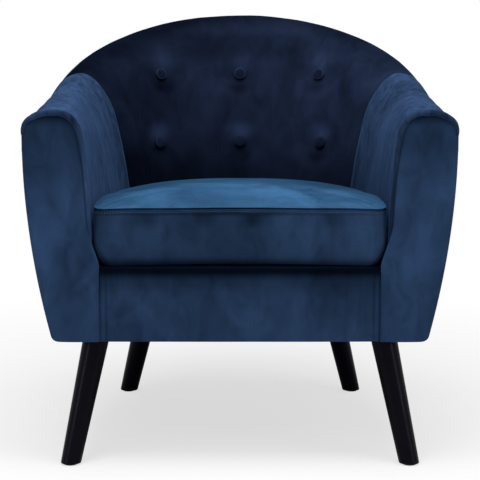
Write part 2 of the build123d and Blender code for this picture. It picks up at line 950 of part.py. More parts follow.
first_bar_y = arm_end_y + rail + clip_depth / 2
last_bar_y = spring_rail_front[1] - clip_depth / 2
bar_pitch = (last_bar_y - first_bar_y) / (spring_bars - 1)
spring_columns = [spring_spacing * (i - (spring_count - 1) / 2) for i in range(spring_count)]


def draw_spring(x):
    for bar in range(spring_bars):
        y = first_bar_y + bar_pitch * bar
        way = 1 if bar % 2 == 0 else -1
        Line((x - way * spring_half, y, spring_z), (x + way * spring_half, y, spring_z))
        if bar < spring_bars - 1:
            end = x + way * spring_half
            ThreePointArc(
                (end, y, spring_z),
                (end + way * bar_pitch / 2, y + bar_pitch / 2, spring_z),
                (end, y + bar_pitch, spring_z),
            )


def least_self_gap(path, clear_length):
    """Least gap of a wire to itself, between points that are further apart along it than clear_length."""
    points = [path @ (i / spring_samples) for i in range(spring_samples + 1)]
    skip = math.ceil(clear_length / path.length * spring_samples)
    return min(
        (points[i] - points[j]).length - spring_wire
        for i in range(spring_samples + 1)
        for j in range(i + skip, spring_samples + 1)
    )


for number, x in enumerate(spring_columns, 1):
    with BuildPart() as seat_spring:
        with BuildLine() as spring_path:
            draw_spring(x)
        start = (x - spring_half, first_bar_y, spring_z)
        with BuildSketch(Plane(origin=start, z_dir=(1, 0, 0))):
            Circle(spring_wire / 2)
        sweep()
    keep(seat_spring, f"seat_spring_{number}")
    if number == 1:
        bend_length = math.pi * bar_pitch / 2
        print("spring self gap", round(least_self_gap(spring_path.wire(), bend_length), 2))

with BuildPart() as spring_clips:
    for x in spring_columns:
        for y in (first_bar_y, last_bar_y):
            with BuildSketch(Plane.XY.offset(clip_bottom)):
                with Locations((x, y)):
                    Rectangle(clip_width, clip_depth)
            extrude(amount=spring_z - clip_bottom)
            with BuildSketch(Plane.YZ.offset(x)):
                with Locations((y, spring_z)):
                    Circle(spring_wire / 2 + bore_gap)
            extrude(amount=clip_width, both=True, mode=Mode.SUBTRACT)
keep(spring_clips, "spring_clips")


# Loose seat cushion: a sewn cover with a zip at the back, round a foam core

cushion_bottom = deck_top + fit
cushion_middle = (cushion_bottom + seat_height) / 2
cushion_front_y = front_y + cushion_front


def cushion_form(shrink):
    """Boxed cushion with borders that swell between the seams and a crowned top, shrunk all round."""
    borders = (
        (cushion_bottom + shrink, cushion_inset),
        (cushion_middle, 0.0),
        (seat_height - shrink, cushion_inset),
    )
    crowns = (
        (seat_height - shrink, cushion_inset),
        (seat_height + crown * crown_shape - shrink, cushion_inset + crown_run / 2),
        (seat_height + crown - shrink, cushion_inset + crown_run),
    )
    with BuildPart() as form:
        for levels in (borders, crowns):
            for height, inset in levels:
                with BuildSketch(Plane.XY.offset(height)) as plan:
                    with BuildLine():
                        inward = inset + shrink
                        draw_seat_plan(
                            cushion_front_y + inward,
                            cushion_gap + inward,
                            cushion_back_gap + inward,
                            min(height, seat_height),
                        )
                    make_face()
                    fillet(plan.vertices().group_by(Axis.Y)[0], cushion_corner)
            loft()
    return form.part


def zip_arc():
    """Radius and centre of the back border at mid height."""

    def wall(angle):
        return inside_radius(profile(Station(angle, turn_y)), cushion_middle) - cushion_back_gap

    side_x, side_y = polar(side_arc_angle, wall(side_arc_angle))
    back_y = polar(90.0, wall(90.0))[1]
    sag = back_y - side_y
    radius = (side_x**2 + sag**2) / (2 * sag)
    return radius, back_y - radius


def draw_zip_sector(inner, outer, start, end):
    """Ring sector about the middle of the back border; angles are from straight back."""
    low, high = 90 + start, 90 + end
    arcs = (CenterArc((0, zip_y), inner, low, high - low), CenterArc((0, zip_y), outer, low, high - low))
    Line(arcs[0] @ 0, arcs[1] @ 0)
    Line(arcs[0] @ 1, arcs[1] @ 1)


zip_radius, zip_y = zip_arc()
zip_half_angle = math.degrees(zip_half_length / zip_radius)
zip_end_angle = math.degrees(zip_end / zip_radius)
with BuildPart() as cushion_cover:
    add(cushion_form(0.0))
    add(cushion_form(cushion_skin), mode=Mode.SUBTRACT)
    with BuildSketch(Plane.XY.offset(cushion_middle - zip_height / 2)):
        with BuildLine():
            past = 2 * cushion_skin
            draw_zip_sector(zip_radius - past, zip_radius + past, -zip_half_angle, zip_half_angle)
        make_face()
    extrude(amount=zip_height, mode=Mode.SUBTRACT)
keep(cushion_cover, "cushion_cover")

with BuildPart() as cushion_foam:
    add(cushion_form(cushion_skin + layer_gap))
keep(cushion_foam, "cushion_foam")

with BuildPart() as cushion_zip:
    end_gap = math.degrees(fit / zip_radius)
    with BuildSketch(Plane.XY.offset(cushion_middle - zip_height / 2 + fit)):
        with BuildLine():
            draw_zip_sector(
                zip_radius - cushion_skin, zip_radius, end_gap - zip_half_angle, zip_half_angle - end_gap
            )
        make_face()
    extrude(amount=zip_height - 2 * fit)
keep(cushion_zip, "cushion_zip")

with BuildPart() as zip_slider:
    closed = zip_end_angle - zip_half_angle
    slider_half = math.degrees(slider_width / 2 / zip_radius)
    pull_half = math.degrees(pull_width / 2 / zip_radius)
    inner = zip_radius + slider_gap
    with BuildSketch(Plane.XY.offset(cushion_middle - slider_height / 2)):
        with BuildLine():
            draw_zip_sector(inner, inner + slider_depth, closed - slider_half, closed + slider_half)
        make_face()
    extrude(amount=slider_height)
    pull_inner = inner + (slider_depth - pull_depth) / 2
    with BuildSketch(Plane.XY.offset(cushion_middle - slider_height / 2 - pull_length)):
        with BuildLine():
            draw_zip_sector(pull_inner, pull_inner + pull_depth, closed - pull_half, closed + pull_half)
        make_face()
    extrude(amount=pull_length)
keep(zip_slider, "zip_slider")
print("zip centre y", round(zip_y, 3), "zip travel", round(2 * (zip_half_angle - zip_end_angle), 3))


# Dust cover and its staples

dust_top = leg_height - fit
dust_bottom = dust_top - dust_depth


def under_point(angle, y, inset):
    radius = profile(Station(angle, y)).foot - inset
    turn = math.radians(angle)
    return (radius * math.cos(turn), y + radius * math.sin(turn))


with BuildPart() as dust_cover:
    with BuildSketch(Plane.XY.offset(dust_bottom)):
        with BuildLine():
            bends = [under_point(180.0 * i / dust_bends, turn_y, dust_inset) for i in range(dust_bends + 1)]
            right = under_point(0.0, arm_end_y, dust_inset)
            left = under_point(180.0, arm_end_y, dust_inset)
            Line(left, right)
            Line(right, bends[0])
            for i in range(0, dust_bends, 2):
                ThreePointArc(bends[i], bends[i + 1], bends[i + 2])
            Line(bends[-1], left)
        make_face()
    extrude(amount=dust_depth)
    for leg in legs:
        add(leg_cone(leg, dust_leg_gap), mode=Mode.SUBTRACT)
keep(dust_cover, "dust_cover")

staple_places = [Station(180.0 * i / staple_angles, turn_y) for i in range(staple_angles + 1)]
for i in (1, 2):
    y = turn_y + (arm_end_y + rail - turn_y) * i / 2
    staple_places += [Station(0.0, y), Station(180.0, y)]
staple_planes = []
for place in staple_places:
    x, y = under_point(place.angle, place.y, staple_inset)
    turn = math.radians(place.angle)
    tangent = (-math.sin(turn), math.cos(turn), 0)
    staple_planes.append(Plane(origin=(x, y, dust_bottom), x_dir=tangent, z_dir=(0, 0, 1)))
for column in spring_columns:
    origin = (column, arm_end_y + rail / 2, dust_bottom)
    staple_planes.append(Plane(origin=origin, x_dir=(1, 0, 0), z_dir=(0, 0, 1)))

with BuildPart() as dust_staples:
    for plane in staple_planes:
        with BuildSketch(plane):
            Rectangle(staple_crown, staple_wire)
        extrude(amount=-staple_wire)
        with BuildSketch(plane):
            with GridLocations(staple_crown - staple_wire, 0, 2, 1):
                Rectangle(staple_wire, staple_wire)
        extrude(amount=staple_leg)
keep(dust_staples, "dust_staples")
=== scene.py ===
"""Looks of an upholstered tub armchair: its soft pieces, finishes, stage and camera, in metres."""

import json
import math
from collections import namedtuple

import bpy
from bpy.props import FloatProperty, FloatVectorProperty, IntProperty, PointerProperty
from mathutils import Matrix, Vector, noise


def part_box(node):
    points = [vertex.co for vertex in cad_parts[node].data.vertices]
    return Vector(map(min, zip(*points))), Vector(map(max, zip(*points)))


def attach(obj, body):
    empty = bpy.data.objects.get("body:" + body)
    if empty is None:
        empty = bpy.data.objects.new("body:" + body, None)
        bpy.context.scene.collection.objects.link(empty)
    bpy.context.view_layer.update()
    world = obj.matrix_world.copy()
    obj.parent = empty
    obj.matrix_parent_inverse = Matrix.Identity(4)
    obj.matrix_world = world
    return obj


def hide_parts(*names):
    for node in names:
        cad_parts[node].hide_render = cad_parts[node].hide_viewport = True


bl_info = {
    "name": "Tub Armchair",
    "version": (1, 0, 0),
    "blender": (4, 5, 0),
    "location": "View3D > Sidebar > Armchair",
    "description": "Builds the soft pieces and finishes of a tub armchair on its packed frame",
    "category": "Object",
}

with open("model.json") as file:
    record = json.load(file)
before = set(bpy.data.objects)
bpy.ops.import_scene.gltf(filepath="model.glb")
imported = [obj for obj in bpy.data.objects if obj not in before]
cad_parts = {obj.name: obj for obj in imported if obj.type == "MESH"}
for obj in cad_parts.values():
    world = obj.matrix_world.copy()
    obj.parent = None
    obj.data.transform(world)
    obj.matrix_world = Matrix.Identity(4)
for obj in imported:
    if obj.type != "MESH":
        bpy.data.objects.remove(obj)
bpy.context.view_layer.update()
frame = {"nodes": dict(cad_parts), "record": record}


# Properties

def length(description, default):
    return FloatProperty(description=description, default=default, unit="LENGTH", precision=4)


def angle(description, degrees):
    return FloatProperty(description=description, default=math.radians(degrees), subtype="ANGLE")


def share(description, default):
    return FloatProperty(description=description, default=default, min=0.0, max=1.0, subtype="FACTOR")


def colour(description, default):
    return FloatVectorProperty(
        description=description, default=default, size=3, min=0.0, max=1.0, subtype="COLOR_GAMMA"
    )


class ShellSizes(bpy.types.PropertyGroup):
    """Sizes of the rounded shell: rim, inner face and outer face."""

    half_width: length("Middle to the outside of an arm front", 0.360)
    toe_in: length("How much narrower the rim is where the arms end", 0.003)
    reach: length("From the turn back to the rim behind", 0.400)
    turn_y: length("Where the straight arms run into the rounded back", -0.060)
    arm_front: length("Where the arms meet their facings", -0.320)
    front: length("Front of the facings", -0.340)
    arm_height: length("Rim at the arm fronts", 0.606)
    turn_height: length("Rim at the turn", 0.622)
    height: length("Rim at the middle of the back", 0.763)
    bottom: length("Underside of the body", 0.216)
    side_tuck: length("How far the sides draw in towards the bottom", 0.046)
    back_tuck: length("How far the back draws in towards the bottom", 0.070)
    arm_wall: length("Rim thickness of the arms", 0.097)
    back_wall: length("Rim thickness of the back", 0.102)
    roll: length("Radius of the rolled rim", 0.040)
    lip: length("Rim down to the seam with the outside covers", 0.070)
    turn_lift: length("How much the padding fills out the bend of the arm tops at the turn", 0.004)
    inner_drop: length("How far down the rim rounds over into the inside back", 0.095)
    inner_start: length("Outside of the rim to where it starts to round over into the back", 0.042)
    inner_run: length("Length of arm over which its roll opens to that of the back", 0.300)
    seam_angle: angle("Where the outside arms meet the back, round from the turn", 18.5)
    seam_turn: angle("Upright seam between inside arm and back, out of square to the arms", -2.2)
    seam_lean: angle("How far that seam leans forward at its foot", 3.0)
    seat_front: length("Half width between the arms at the front", 0.248)
    seat_turn: length("Half width between the arms at the turn", 0.222)
    seat_reach: length("From the turn back to the inside back, at the deck", 0.195)
    arm_belly: length("Swell of the inside arms", 0.002)
    back_belly: length("Swell of the inside back", 0.016)
    pad_bottom: length("Bottom of the inside pads", 0.3185)
    pad_depth: length("Depth of the inside arm pads behind their faces", 0.012)
    back_depth: length("Depth of the inside back's pad behind its face, more than that of its tufts", 0.019)
    front_edge: length("Front of the rolled edge of the arms", -0.3395)
    roll_run: length("Depth of the rolled front edge of the arms", 0.026)
    roll_top: length("Rolled edge down to the facing, over the arm", 0.0075)
    roll_side: length("Rolled edge in to the facing, beside the cushion", 0.0015)
    roll_swell: length("How far the rolled edge stands out of the inside arm", 0.0035)
    roll_full: length("How much further it stands out at the outer corner", 0.0025)
    seam_depth: length("How far a seam draws the cover in", 0.0035)
    seam_width: length("How far a seam's hollow reaches", 0.006)


class TuftSizes(bpy.types.PropertyGroup):
    """Sizes of the buttoned tufts in the inside back."""

    spacing: length("Between the columns of buttons", 0.151)
    low: length("Height of the lower buttons", 0.5183)
    high: length("Height of the upper buttons", 0.6506)
    depth: length("How far a button draws the pad in", 0.013)
    floor: length("Radius of the flat under a button", 0.012)
    spread: length("Radius at which a tuft fades out", 0.066)
    button: length("Radius of a button", 0.0115)


class CushionSizes(bpy.types.PropertyGroup):
    """Sizes of the loose seat cushion."""

    bottom: length("Underside of the cushion", 0.3413)
    top: length("Height of the top seam", 0.438)
    front: length("Front of the cushion", -0.334)
    gap: length("Cushion to the arms", 0.003)
    back_gap: length("Cushion to the inside back", 0.009)
    inset: length("How far the borders draw in to the bottom seam", 0.013)
    round: length("Height over which the borders draw in to the bottom seam", 0.035)
    top_inset: length("How far the borders draw in to the top seam", 0.0025)
    crown: length("Rise of the top before it swells", 0.0128)
    bow: length("How much higher the cushion is at its front middle than at its corners", 0.0045)
    side_bow: length("How much higher the top edge is along the sides than at the front corners", 0.0095)
    side_run: length("Length of the bowed part of a side, from the front", 0.276)
    corner: length("Radius of the front corners", 0.018)
    cap: length("Furthest that the filling may push the cover", 0.014)
    pressure: FloatProperty(description="Pressure of the filling", default=4.0, min=0.0)
    frames: IntProperty(description="Length of the cloth simulation", default=20, min=1)
    stitch: length("Length of a stitch with its gap", 0.0045)


class FinishColours(bpy.types.PropertyGroup):
    """Colours of the visible finishes, as they look under plain light; the inside back's also carries painted
    shade.
    """

    velvet: colour("Facings, border and outside covers", (0.148, 0.226, 0.340))
    velvet_arm: colour("Nap of the inside arms", (0.134, 0.198, 0.298))
    # darker partly for the nap and partly as painted shade inside the tub; the buttons use it too
    velvet_back: colour("Nap of the inside back", (0.088, 0.120, 0.194))
    velvet_border: colour("Nap of the cushion's borders", (0.146, 0.224, 0.333))
    velvet_seat: colour("Nap of the cushion", (0.150, 0.270, 0.385))
    lacquer: colour("Turned legs", (0.022, 0.021, 0.034))
    lining: colour("Deck and dust cover", (0.070, 0.075, 0.090))
    wood: colour("Rails, ribs and blocks", (0.720, 0.570, 0.390))
    floor: colour("Pale studio floor", (0.930, 0.930, 0.930))
    nap: share("How strongly brushed patches of pile differ in shade", 0.60)


def shell():
    return bpy.context.scene.armchair_shell


def tuft_sizes():
    return bpy.context.scene.armchair_tufts


def cushion_sizes():
    return bpy.context.scene.armchair_cushion


def colours():
    return bpy.context.scene.armchair_colours


# Shape of the shell

Section = namedtuple("Section", "angle y rim top wall foot tuck seat belly")
Spot = namedtuple("Spot", "angle y")
PLAN_POWER = 2.3  # roundness of the plan, where 2 is an oval
RISE_POWER = 1.38  # how the rim climbs from the arms to the back
LIFT_AHEAD = 0.015  # how far in front of the turn the arm tops are filled out most
LIFT_RUN = 0.07  # how far that reaches
ROUND_PULL = 0.552  # handle of a quarter circle, as a share of its radius
BACK_PULL = 0.13  # how much shorter the handles are at the back
SLOPE_STEP = 0.001  # height over which a slope is measured
LIP_STEPS, ROLL_STEPS, TOP_STEPS, INNER_STEPS = 7, 14, 4, 26  # points over each stretch of the padding
FACE_STEPS = 60  # points down the face of an arm
BEND_STEPS, STRAIGHT_STEPS = 26, 64  # sections round the bend and along the straight of an arm
LIP_SEAM = 0.6  # depth of the seams of the outside covers, as a share of a full seam
SOFT_PITCH = 0.09  # size of the uneven patches of padding


def bell(distance, width):
    """1 in the middle, fading out with the distance."""
    return math.exp(-((distance / width) ** 2))


def superellipse(half, reach, angle):
    across = abs(math.cos(angle)) / half
    along = abs(math.sin(angle)) / reach
    return (across**PLAN_POWER + along**PLAN_POWER) ** (-1 / PLAN_POWER)


def section(angle, y=None):
    """Upright section of the shell at an angle round the turn, or at a place along the straight of an arm."""
    s = shell()
    y = s.turn_y if y is None else y
    forward = (s.turn_y - y) / (s.turn_y - s.arm_front)
    behind = abs(math.sin(angle))
    rim = superellipse(s.half_width - s.toe_in * (1 - forward), s.reach, angle)
    tuck = s.side_tuck + (s.back_tuck - s.side_tuck) * behind
    rise = (s.height - s.turn_height) * behind**RISE_POWER
    past = y - s.turn_y + min(angle, math.pi - angle) * s.half_width + LIFT_AHEAD
    rise += s.turn_lift * bell(past, LIFT_RUN)
    return Section(
        angle=angle,
        y=y,
        rim=rim,
        top=s.turn_height + (s.arm_height - s.turn_height) * forward + rise,
        wall=s.arm_wall + (s.back_wall - s.arm_wall) * behind,
        foot=rim - tuck,
        tuck=tuck,
        seat=superellipse(s.seat_turn + (s.seat_front - s.seat_turn) * forward, s.seat_reach, angle),
        belly=s.arm_belly + (s.back_belly - s.arm_belly) * behind,
    )


def outer_radius(p, z):
    s = shell()
    widest = p.top - s.roll
    return p.rim - p.tuck * (max(0.0, widest - z) / (widest - s.bottom)) ** 2


def inside_radius(p, z):
    s = shell()
    part = (z - s.pad_bottom) / (p.top - s.roll - s.pad_bottom)
    return p.seat + (p.rim - p.wall - p.seat) * part - p.belly * 4 * part * (1 - part)


def inside_slope(p, z):
    return (inside_radius(p, z + SLOPE_STEP) - inside_radius(p, z)) / SLOPE_STEP


def place(p, radius, z):
    return Vector((radius * math.cos(p.angle), p.y + radius * math.sin(p.angle), z))


def steps(start, end, count):
    return [start + (end - start) * i / count for i in range(count + 1)]


def eased(start, end, count):
    """Steps that lie closer together towards both ends."""
    return [start + (end - start) * (0.5 - 0.5 * math.cos(math.pi * i / count)) for i in range(count + 1)]


def smooth(low, high, value):
    part = max(0.0, min(1.0, (value - low) / (high - low)))
    return part * part * (3 - 2 * part)


def bezier(a, b, c, d, t):
    left = 1 - t
    weights = (left**3, 3 * left * left * t, 3 * left * t * t, t**3)
    return tuple(sum(w * q[i] for w, q in zip(weights, (a, b, c, d))) for i in (0, 1))


def inner_roll(p):
    """Corners (radius, z) of the curve that rounds the top of the rim over into the inner face."""
    s = shell()
    along = p.y - s.arm_front + min(p.angle, math.pi - p.angle) * p.rim
    ease = smooth(0.0, s.inner_run, along)
    start = p.rim - p.wall + s.roll
    start += (p.rim - s.inner_start - start) * ease
    drop = s.roll + (s.inner_drop - s.roll) * ease
    pull = ROUND_PULL - BACK_PULL * ease
    low = p.top - drop
    end = inside_radius(p, low)
    return (
        (start, p.top),
        (start - pull * (start - end), p.top),
        (end + inside_slope(p, low) * pull * drop, low + pull * drop),
        (end, low),
    )


def face_line(p, face_steps):
    """Points (radius, z) over the face of the inside padding, from the lip over the roll to the deck."""
    s = shell()
    level = p.top - s.roll
    outer = p.rim - s.roll
    roll = inner_roll(p)
    points = [(p.rim, z) for z in steps(p.top - s.lip, level, LIP_STEPS)[:-1]]
    for turn in steps(0.0, math.pi / 2, ROLL_STEPS)[:-1]:
        points.append((outer + s.roll * math.cos(turn), level + s.roll * math.sin(turn)))
    points += [(r, p.top) for r in steps(outer, roll[0][0], TOP_STEPS)[:-1]]
    points += [bezier(*roll, t) for t in steps(0.0, 1.0, INNER_STEPS)[:-1]]
    points += [(inside_radius(p, z), z) for z in steps(roll[3][1], s.pad_bottom, face_steps)]
    return points


def line_normals(points):
    """Unit normals (radius, z) to the right of a line of points."""
    normals = []
    for i in range(len(points)):
        before, after = points[max(i - 1, 0)], points[min(i + 1, len(points) - 1)]
        run = Vector((after[0] - before[0], after[1] - before[1])).normalized()
        normals.append((run.y, -run.x))
    return normals


class FaceLines:
    """Lines over the inside padding at close angles round the back, read at any angle between them."""

    count = 180

    def __init__(self, face_steps):
        self.lines = [face_line(section(turn), face_steps) for turn in steps(0.0, math.pi / 2, self.count)]
        self.normals = [line_normals(line) for line in self.lines]
        self.width = len(self.lines[0])
        self.seam = [self.seam_at(j) for j in range(self.width)]

    def read(self, turn, j):
        """Radius, height and normal of point j of the line at an angle."""
        part = min(turn, math.pi - turn) / (math.pi / 2) * self.count
        low = min(int(part), self.count - 1)
        near, far = self.lines[low][j], self.lines[low + 1][j]
        radius, z = (a + (b - a) * (part - low) for a, b in zip(near, far))
        return radius, z, self.normals[low][j]

    def seam_at(self, j):
        """Angle at which point j lies on the seam between the right arm and the back."""
        s = shell()
        rim = section(s.seam_angle)
        corner = place(rim, rim.rim, rim.top)
        low, high = 0.0, math.pi / 3
        for _ in range(30):
            turn = (low + high) / 2
            radius, z, _ = self.read(turn, j)
            at = place(Spot(turn, s.turn_y), radius, z) - corner
            in_front = at.y < at.x * math.tan(s.seam_turn) + at.z * math.tan(s.seam_lean)
            low, high = (turn, high) if in_front else (low, turn)
        return turn


def crossing(line, z):
    """Where a climbing line of points (x, z) passes a height."""
    for (x, low), (next_x, high) in zip(line, line[1:]):
        if low <= z <= high and high > low:
            return x + (next_x - x) * (z - low) / (high - low)
    return line[-1][0]


def rounded(distance, radius):
    """How far a rounded edge falls back at a distance from it."""
    left = max(0.0, radius - distance)
    return radius - math.sqrt(max(0.0, radius * radius - left * left))


def seam_dip(distance):
    s = shell()
    return s.seam_depth * bell(distance, s.seam_width)


def softness(point, size=0.0012):
    """Small uneven swell of padding under a cover."""
    return size * noise.noise(point / SOFT_PITCH) + 0.3 * size * noise.noise(point / (SOFT_PITCH * 0.35))


# Making pieces

def grid_faces(count, width, wrap=False):
    """Quads between neighbouring points of a grid of rows."""
    faces = []
    for i in range(count - 1):
        for j in range(width if wrap else width - 1):
            k = (j + 1) % width
            faces.append((i * width + j, i * width + k, (i + 1) * width + k, (i + 1) * width + j))
    return faces


def sheet_mesh(name, rows, wrap=False):
    """A smooth piece through rows of points."""
    faces = grid_faces(len(rows), len(rows[0]), wrap)
    return new_piece(name, [point for row in rows for point in row], faces)


def padded_mesh(name, layers):
    """A closed piece between the outer and inner points of each (outer, inner) pair of rows."""
    count, width = len(layers), len(layers[0][0])
    half = count * width
    points = [point for side in (0, 1) for layer in layers for point in layer[side]]
    faces = grid_faces(count, width)
    faces += [tuple(half + k for k in reversed(face)) for face in faces]
    edge = list(range(width)) + [i * width + width - 1 for i in range(1, count)]
    edge += [half - 2 - j for j in range(width - 1)] + [i * width for i in range(count - 2, 0, -1)]
    for a, b in zip(edge, edge[1:] + edge[:1]):
        faces.append((b, a, half + a, half + b))
    piece = new_piece(name, points, faces)
    close_up(piece)
    return piece


def new_piece(name, points, faces):
    mesh = bpy.data.meshes.new(name)
    mesh.from_pydata([tuple(point) for point in points], [], faces)
    mesh.update()
    piece = bpy.data.objects.new(name, mesh)
    bpy.context.collection.objects.link(piece)
    pick(piece)
    bpy.ops.object.shade_smooth()
    return piece


def pick(*pieces):
    bpy.ops.object.select_all(action="DESELECT")
    for piece in pieces:
        piece.select_set(True)
    bpy.context.view_layer.objects.active = pieces[0]


def added(operator, **settings):
    """Runs an operator that adds an object, and gives that object."""
    bpy.ops.object.select_all(action="DESELECT")
    operator(**settings)
    return bpy.context.object


def apply_modifier(piece, kind, **settings):
    pick(piece)
    made = piece.modifiers.new(kind.title(), kind)
    for key, value in settings.items():
        setattr(made, key, value)
    bpy.ops.object.modifier_apply(modifier=made.name)


def close_up(piece):
    """Merges doubles and turns all faces outwards on a closed piece."""
    pick(piece)
    bpy.ops.object.mode_set(mode="EDIT")
    bpy.ops.mesh.select_all(action="SELECT")
    bpy.ops.mesh.remove_doubles(threshold=1e-6)
    bpy.ops.mesh.normals_make_consistent(inside=False)
    bpy.ops.object.mode_set(mode="OBJECT")


def finish_piece(piece, finish, body, nodes):
    piece.data.materials.append(finish)
    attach(piece, body)
    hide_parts(*nodes)


def mirrored(rows):
    return [[Vector((-point.x, point.y, point.z)) for point in row] for row in rows]


def layer(p, points, depth, sink):
    """Outer and inner row of a padded cover along a line of points of a section, sunk by a function."""
    outer, inner = [], []
    for (radius, z), normal in zip(points, line_normals(points)):
        at = place(p, radius, z)
        out = softness(at) - sink(p, at, radius)
        outer.append(place(p, radius + normal[0] * out, z + normal[1] * out))
        inner.append(place(p, radius - normal[0] * depth, z - normal[1] * depth))
    return outer, inner


def bent_layer(lines, turns, depth, sink):
    """Outer and inner row of the inside padding with an angle of its own for each point of the line."""
    outer, inner = [], []
    for j, turn in enumerate(turns):
        radius, z, normal = lines.read(turn, j)
        spot = Spot(turn, shell().turn_y)
        at = place(spot, radius, z)
        out = softness(at) - sink(lines, at, turn, j)
        outer.append(place(spot, radius + normal[0] * out, z + normal[1] * out))
        inner.append(place(spot, radius - normal[0] * depth, z - normal[1] * depth))
    return outer, inner


def lip_dip(j):
    """Dip at the seam under the rolled rim, for a point of the line over the padding."""
    s = shell()
    return LIP_SEAM * seam_dip(j * (s.lip - s.roll) / LIP_STEPS) if j < LIP_STEPS else 0.0


def paint_light_and_shade(piece, shade):
    """Stores painted light and shade at each point: how much lighter or darker the pile is drawn there."""
    nap = piece.data.attributes.new("nap", "FLOAT", "POINT")
    nap.data.foreach_set("value", [shade(vertex.co, vertex.normal) for vertex in piece.data.vertices])


# Shader nodes

class Value:
    """A socket that can stand in sums: each operator adds a Math node."""

    def __init__(self, finish, socket):
        self.finish = finish
        self.socket = socket

    def math(self, operation, first, second):
        made = self.finish.node("ShaderNodeMath", {"operation": operation}, {0: first, 1: second})
        return Value(self.finish, made.outputs[0])

    def __add__(self, other):
        return self.math("ADD", self, other)

    __radd__ = __add__

    def __sub__(self, other):
        return self.math("SUBTRACT", self, other)

    def __mul__(self, other):
        return self.math("MULTIPLY", self, other)


class Finish:
    """One material, or the world, and the nodes that make it."""

    def __init__(self, name, kind="materials"):
        self.material = getattr(bpy.data, kind).new(name)
        self.material.use_nodes = True
        self.tree = self.material.node_tree
        self.tree.nodes.clear()

    def node(self, kind, settings=None, sockets=None):
        made = self.tree.nodes.new(kind)
        for key, value in (settings or {}).items():
            setattr(made, key, value)
        for key, value in (sockets or {}).items():
            self.join(value, made.inputs[key])
        return made

    def join(self, value, socket):
        value = value.socket if isinstance(value, Value) else value
        if isinstance(value, bpy.types.NodeSocket):
            self.tree.links.new(value, socket)
        else:
            socket.default_value = value

    def value(self, node, output=0):
        return Value(self, node.outputs[output])

    def place(self, tall=1.0):
        """Object coordinates, with the pattern drawn out or pressed together along the height."""
        coordinates = self.node("ShaderNodeTexCoord").outputs["Object"]
        sockets = {"Vector": coordinates, "Scale": (1.0, 1.0, tall)}
        return self.node("ShaderNodeMapping", {}, sockets).outputs[0]

    def noise(self, vector, scale, detail=2.0, rough=0.5, distortion=0.0):
        sockets = {"Vector": vector, "Scale": scale, "Detail": detail}
        sockets.update({"Roughness": rough, "Distortion": distortion})
        return self.value(self.node("ShaderNodeTexNoise", {}, sockets))

    def blend(self, factor, first, second):
        settings = {"data_type": "RGBA", "clamp_factor": True}
        made = self.node("ShaderNodeMix", settings, {0: factor, 6: first, 7: second})
        return made.outputs[2]

    def bump(self, height, strength, distance):
        sockets = {"Height": height, "Strength": strength, "Distance": distance}
        return self.node("ShaderNodeBump", {}, sockets).outputs[0]

    def surface(self, sockets):
        shader = self.node("ShaderNodeBsdfPrincipled", {}, sockets)
        self.node("ShaderNodeOutputMaterial", {}, {"Surface": shader.outputs[0]})
        return self.material


def linear(rgb, lift=1.0):
    """A colour as written for the screen, turned to light, with an alpha."""
    light = [c / 12.92 if c <= 0.04045 else ((c + 0.055) / 1.055) ** 2.4 for c in rgb]
    return tuple(min(1.0, lift * c) for c in light) + (1.0,)


WHITE = (1.0, 1.0, 1.0, 1.0)
BLACK = (0.0, 0.0, 0.0, 1.0)
FILL_LIGHT = 0.15  # strength of the surround as light
LIGHTEST = 4.0  # how much lighter than its colour the painted light can make the pile


def velvet(name, rgb, sheen, stretch=0.55, streak=1.0, pitch=26.0):
    """Short pile: brushed patches lighter and darker than the colour, fine fibre, a soft sheen and painted
    light and shade.
    """
    finish = Finish(name)
    spot = finish.place(stretch)
    patches = finish.noise(spot, 7.0, detail=3.0, rough=0.55, distortion=0.8)
    streaks = finish.noise(spot, pitch, detail=2.0, rough=0.6, distortion=1.2)
    fibre = finish.noise(finish.place(), 1400.0, detail=1.0)
    # the nap attribute holds each piece's painted light and shade
    brushed = finish.value(finish.node("ShaderNodeAttribute", {"attribute_name": "nap"}), "Fac")
    mottle = (patches - 0.5) * 1.5 + (streaks - 0.5) * (0.7 * streak) + (fibre - 0.5) * 0.25
    level = (1.0 + brushed) * (1.0 + mottle * (2 * colours().nap))
    return finish.surface(
        {
            "Base Color": finish.blend(level * (1 / LIGHTEST), BLACK, linear(rgb, LIGHTEST)),
            "Roughness": 0.85,
            "Specular IOR Level": 0.0,
            "Sheen Weight": sheen,
            "Sheen Roughness": 0.45,
            "Sheen Tint": linear([min(1.0, c * 2.0 + 0.05) for c in rgb]),
            "Normal": finish.bump(fibre, 0.25, 0.0006),
        }
    )


def lacquer():
    """Satin black over turned wood: faint grain along the leg and softly uneven gloss."""
    finish = Finish("leg_lacquer")
    grain = finish.noise(finish.place(0.06), 420.0, detail=3.0)
    wear = finish.noise(finish.place(), 30.0, detail=3.0)
    rgb = colours().lacquer
    tone = finish.blend(wear, linear(rgb, 0.7), linear(rgb, 1.3))
    return finish.surface(
        {
            "Base Color": tone,
            "Roughness": wear * 0.1 + grain * 0.06 + 0.20,
            "Specular IOR Level": 0.06,
            "Specular Tint": (0.72, 0.70, 1.0, 1.0),
            "Normal": finish.bump(grain, 0.12, 0.0004),
        }
    )


def frame_wood():
    finish = Finish("frame_wood")
    grain = finish.noise(finish.place(0.12), 160.0, detail=4.0, rough=0.6, distortion=0.4)
    rgb = colours().wood
    tone = finish.blend(grain, linear(rgb, 0.6), linear(rgb, 1.1))
    relief = finish.bump(grain, 0.2, 0.0005)
    return finish.surface({"Base Color": tone, "Roughness": grain * 0.2 + 0.5, "Normal": relief})


def lining_cloth(name, rgb):
    """Thin felted cloth with a fine speckle of fibres."""
    finish = Finish(name)
    fibre = finish.noise(finish.place(), 900.0, detail=2.0)
    cloud = finish.noise(finish.place(), 40.0, detail=3.0)
    tone = finish.blend(cloud * 0.6 + fibre * 0.4, linear(rgb, 0.6), linear(rgb, 1.5))
    return finish.surface({"Base Color": tone, "Roughness": 0.92, "Normal": finish.bump(fibre, 0.4, 0.0005)})


